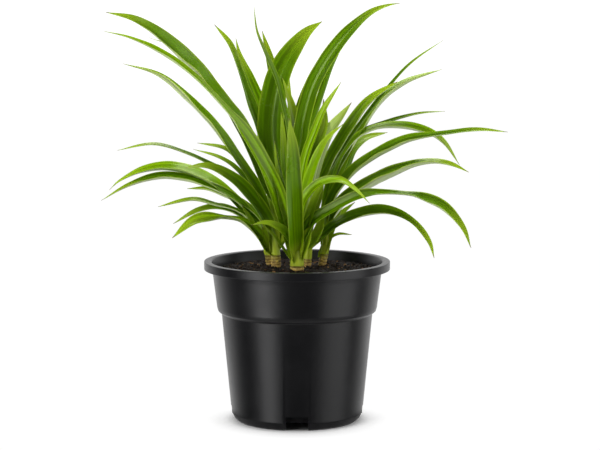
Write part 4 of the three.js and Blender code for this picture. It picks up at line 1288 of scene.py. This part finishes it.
def make_floor_material():
    """White that fades to a clean glow away from the pot, and is dimmer for the plant's light."""
    material, tree = new_material("white sweep")
    place = add(tree, "ShaderNodeTexCoord").outputs["Object"]
    flat = add(tree, "ShaderNodeVectorMath", {0: place}, operation="LENGTH").outputs["Value"]
    # painted shade: the glow fades out and the white darkens towards the pot's foot
    glow = remap(tree, flat, POT_FOOT, POT_FOOT + 0.02, 0.0, FLOOR_GLOW)
    shade = remap(tree, flat, POT_FOOT - 0.004, POT_FOOT + 0.006, 0.2, 0.9)
    white = add(tree, "ShaderNodeBsdfDiffuse", {"Color": grey(tree, shade)})
    shine = add(tree, "ShaderNodeEmission", {"Color": (1.0, 1.0, 1.0, 1.0), "Strength": glow})
    near = add(tree, "ShaderNodeAddShader", {0: white.outputs[0], 1: shine.outputs[0]})
    far = add(tree, "ShaderNodeEmission", {"Color": (1.0, 1.0, 1.0, 1.0), "Strength": CLEAN_WHITE})
    seen = add(tree, "ShaderNodeMixShader", {
        0: remap(tree, flat, POT_FOOT + 0.005, SHADE_END), 1: near.outputs[0], 2: far.outputs[0]})
    unseen = add(tree, "ShaderNodeBsdfDiffuse", {"Color": FLOOR_GREY})
    path = add(tree, "ShaderNodeLightPath")
    both = add(tree, "ShaderNodeMixShader", {
        0: path.outputs["Is Camera Ray"], 1: unseen.outputs[0], 2: seen.outputs[0]})
    add(tree, "ShaderNodeOutputMaterial", {"Surface": both.outputs[0]})
    return material


bpy.ops.mesh.primitive_plane_add(size=FLOOR_SIZE)
floor = bpy.context.object
floor.name = "white_sweep"
floor.visible_glossy = False  # so that the pot mirrors the lamps and not the floor
floor.data.materials.append(make_floor_material())
print("floor", FLOOR_SIZE, "m wide")

# %% Shade the floor under the pot
SHADE_RADIUS = 0.085


def lay_shade():
    """A grey disc that only mirror rays meet, so that the pot's foot mirrors its own shade."""
    material, tree = new_material("shade under the pot")
    dull = add(tree, "ShaderNodeBsdfDiffuse", {"Color": FLOOR_GREY})
    add(tree, "ShaderNodeOutputMaterial", {"Surface": dull.outputs[0]})
    bpy.ops.mesh.primitive_circle_add(radius=SHADE_RADIUS, fill_type="NGON")
    disc = bpy.context.object
    disc.name = "shade_under_the_pot"
    for rays in ("camera", "diffuse", "transmission", "shadow"):
        setattr(disc, "visible_" + rays, False)
    disc.data.materials.append(material)


lay_shade()
print("shade", SHADE_RADIUS, "m round the pot's axis")

# %% [markdown]
# ## Light
# Two tall soft boxes, one each side of the camera, draw the broad highlights on the pot and
# light the leaves, a smaller one hangs above, and the white surroundings behind give the
# leaves their pale rims. The side behind the camera is dim, so that the middle of the pot
# stays black. Area lights are used because a lamp's size is what makes its light soft.

# %% Light the surroundings
SKY_BEHIND = 1.15
SKY_FRONT = 0.05
TABLE_BELOW = 0.9  # what the leaves mirror where they face down


def light_surroundings():
    world = bpy.data.worlds.new("studio")
    world.use_nodes = True
    tree = world.node_tree
    tree.nodes.clear()
    way = add(tree, "ShaderNodeTexCoord").outputs["Generated"]
    parts = add(tree, "ShaderNodeSeparateXYZ", {0: way})
    strength = remap(tree, parts.outputs["Y"], 0.1, 0.75, SKY_FRONT, SKY_BEHIND)
    below = remap(tree, parts.outputs["Z"], -0.8, -0.5, TABLE_BELOW, 0.0)
    strength = maths(tree, "MAXIMUM", strength, below)
    path = add(tree, "ShaderNodeLightPath").outputs["Is Camera Ray"]
    strength = maths(tree, "MAXIMUM", strength, maths(tree, "MULTIPLY", path, 1.05))
    sky = add(tree, "ShaderNodeBackground", {"Color": (1.0, 1.0, 1.0, 1.0), "Strength": strength})
    add(tree, "ShaderNodeOutputWorld", {"Surface": sky.outputs[0]})
    bpy.context.scene.world = world


light_surroundings()
print("surroundings:", SKY_BEHIND, "behind the plant,", SKY_FRONT, "in front of it")

# %% Hang the lights
AIM = Vector((0, 0, 0.16))
SOFT_BOXES = {  # degrees from the front to the left, distance, height, size, brightness
    "left_box": (47, 1.7, 0.25, (0.9, 2.3), 5.8),
    "right_box": (-63, 1.7, 0.25, (1.6, 2.3), 2.5),
    "top_box": (180, 0.3, 2.0, (0.9, 0.9), 9.0),
}


def soft_box(name, azimuth, distance, height, size, brightness):
    """A rectangular light that faces the plant."""
    angle = math.radians(azimuth)
    data = bpy.data.lights.new(name, "AREA")
    data.shape = "RECTANGLE"
    data.size, data.size_y = size
    data.energy = brightness * math.pi * size[0] * size[1]
    lamp = bpy.data.objects.new(name, data)
    lamp.location = (-distance * math.sin(angle), -distance * math.cos(angle), height)
    lamp.rotation_euler = (AIM - lamp.location).to_track_quat("-Z", "Y").to_euler()
    bpy.context.scene.collection.objects.link(lamp)


for name, setting in SOFT_BOXES.items():
    soft_box(name, *setting)
bpy.context.scene.view_settings.view_transform = "Standard"
bpy.context.scene.view_settings.look = "None"
print("hung", len(SOFT_BOXES), "soft boxes")
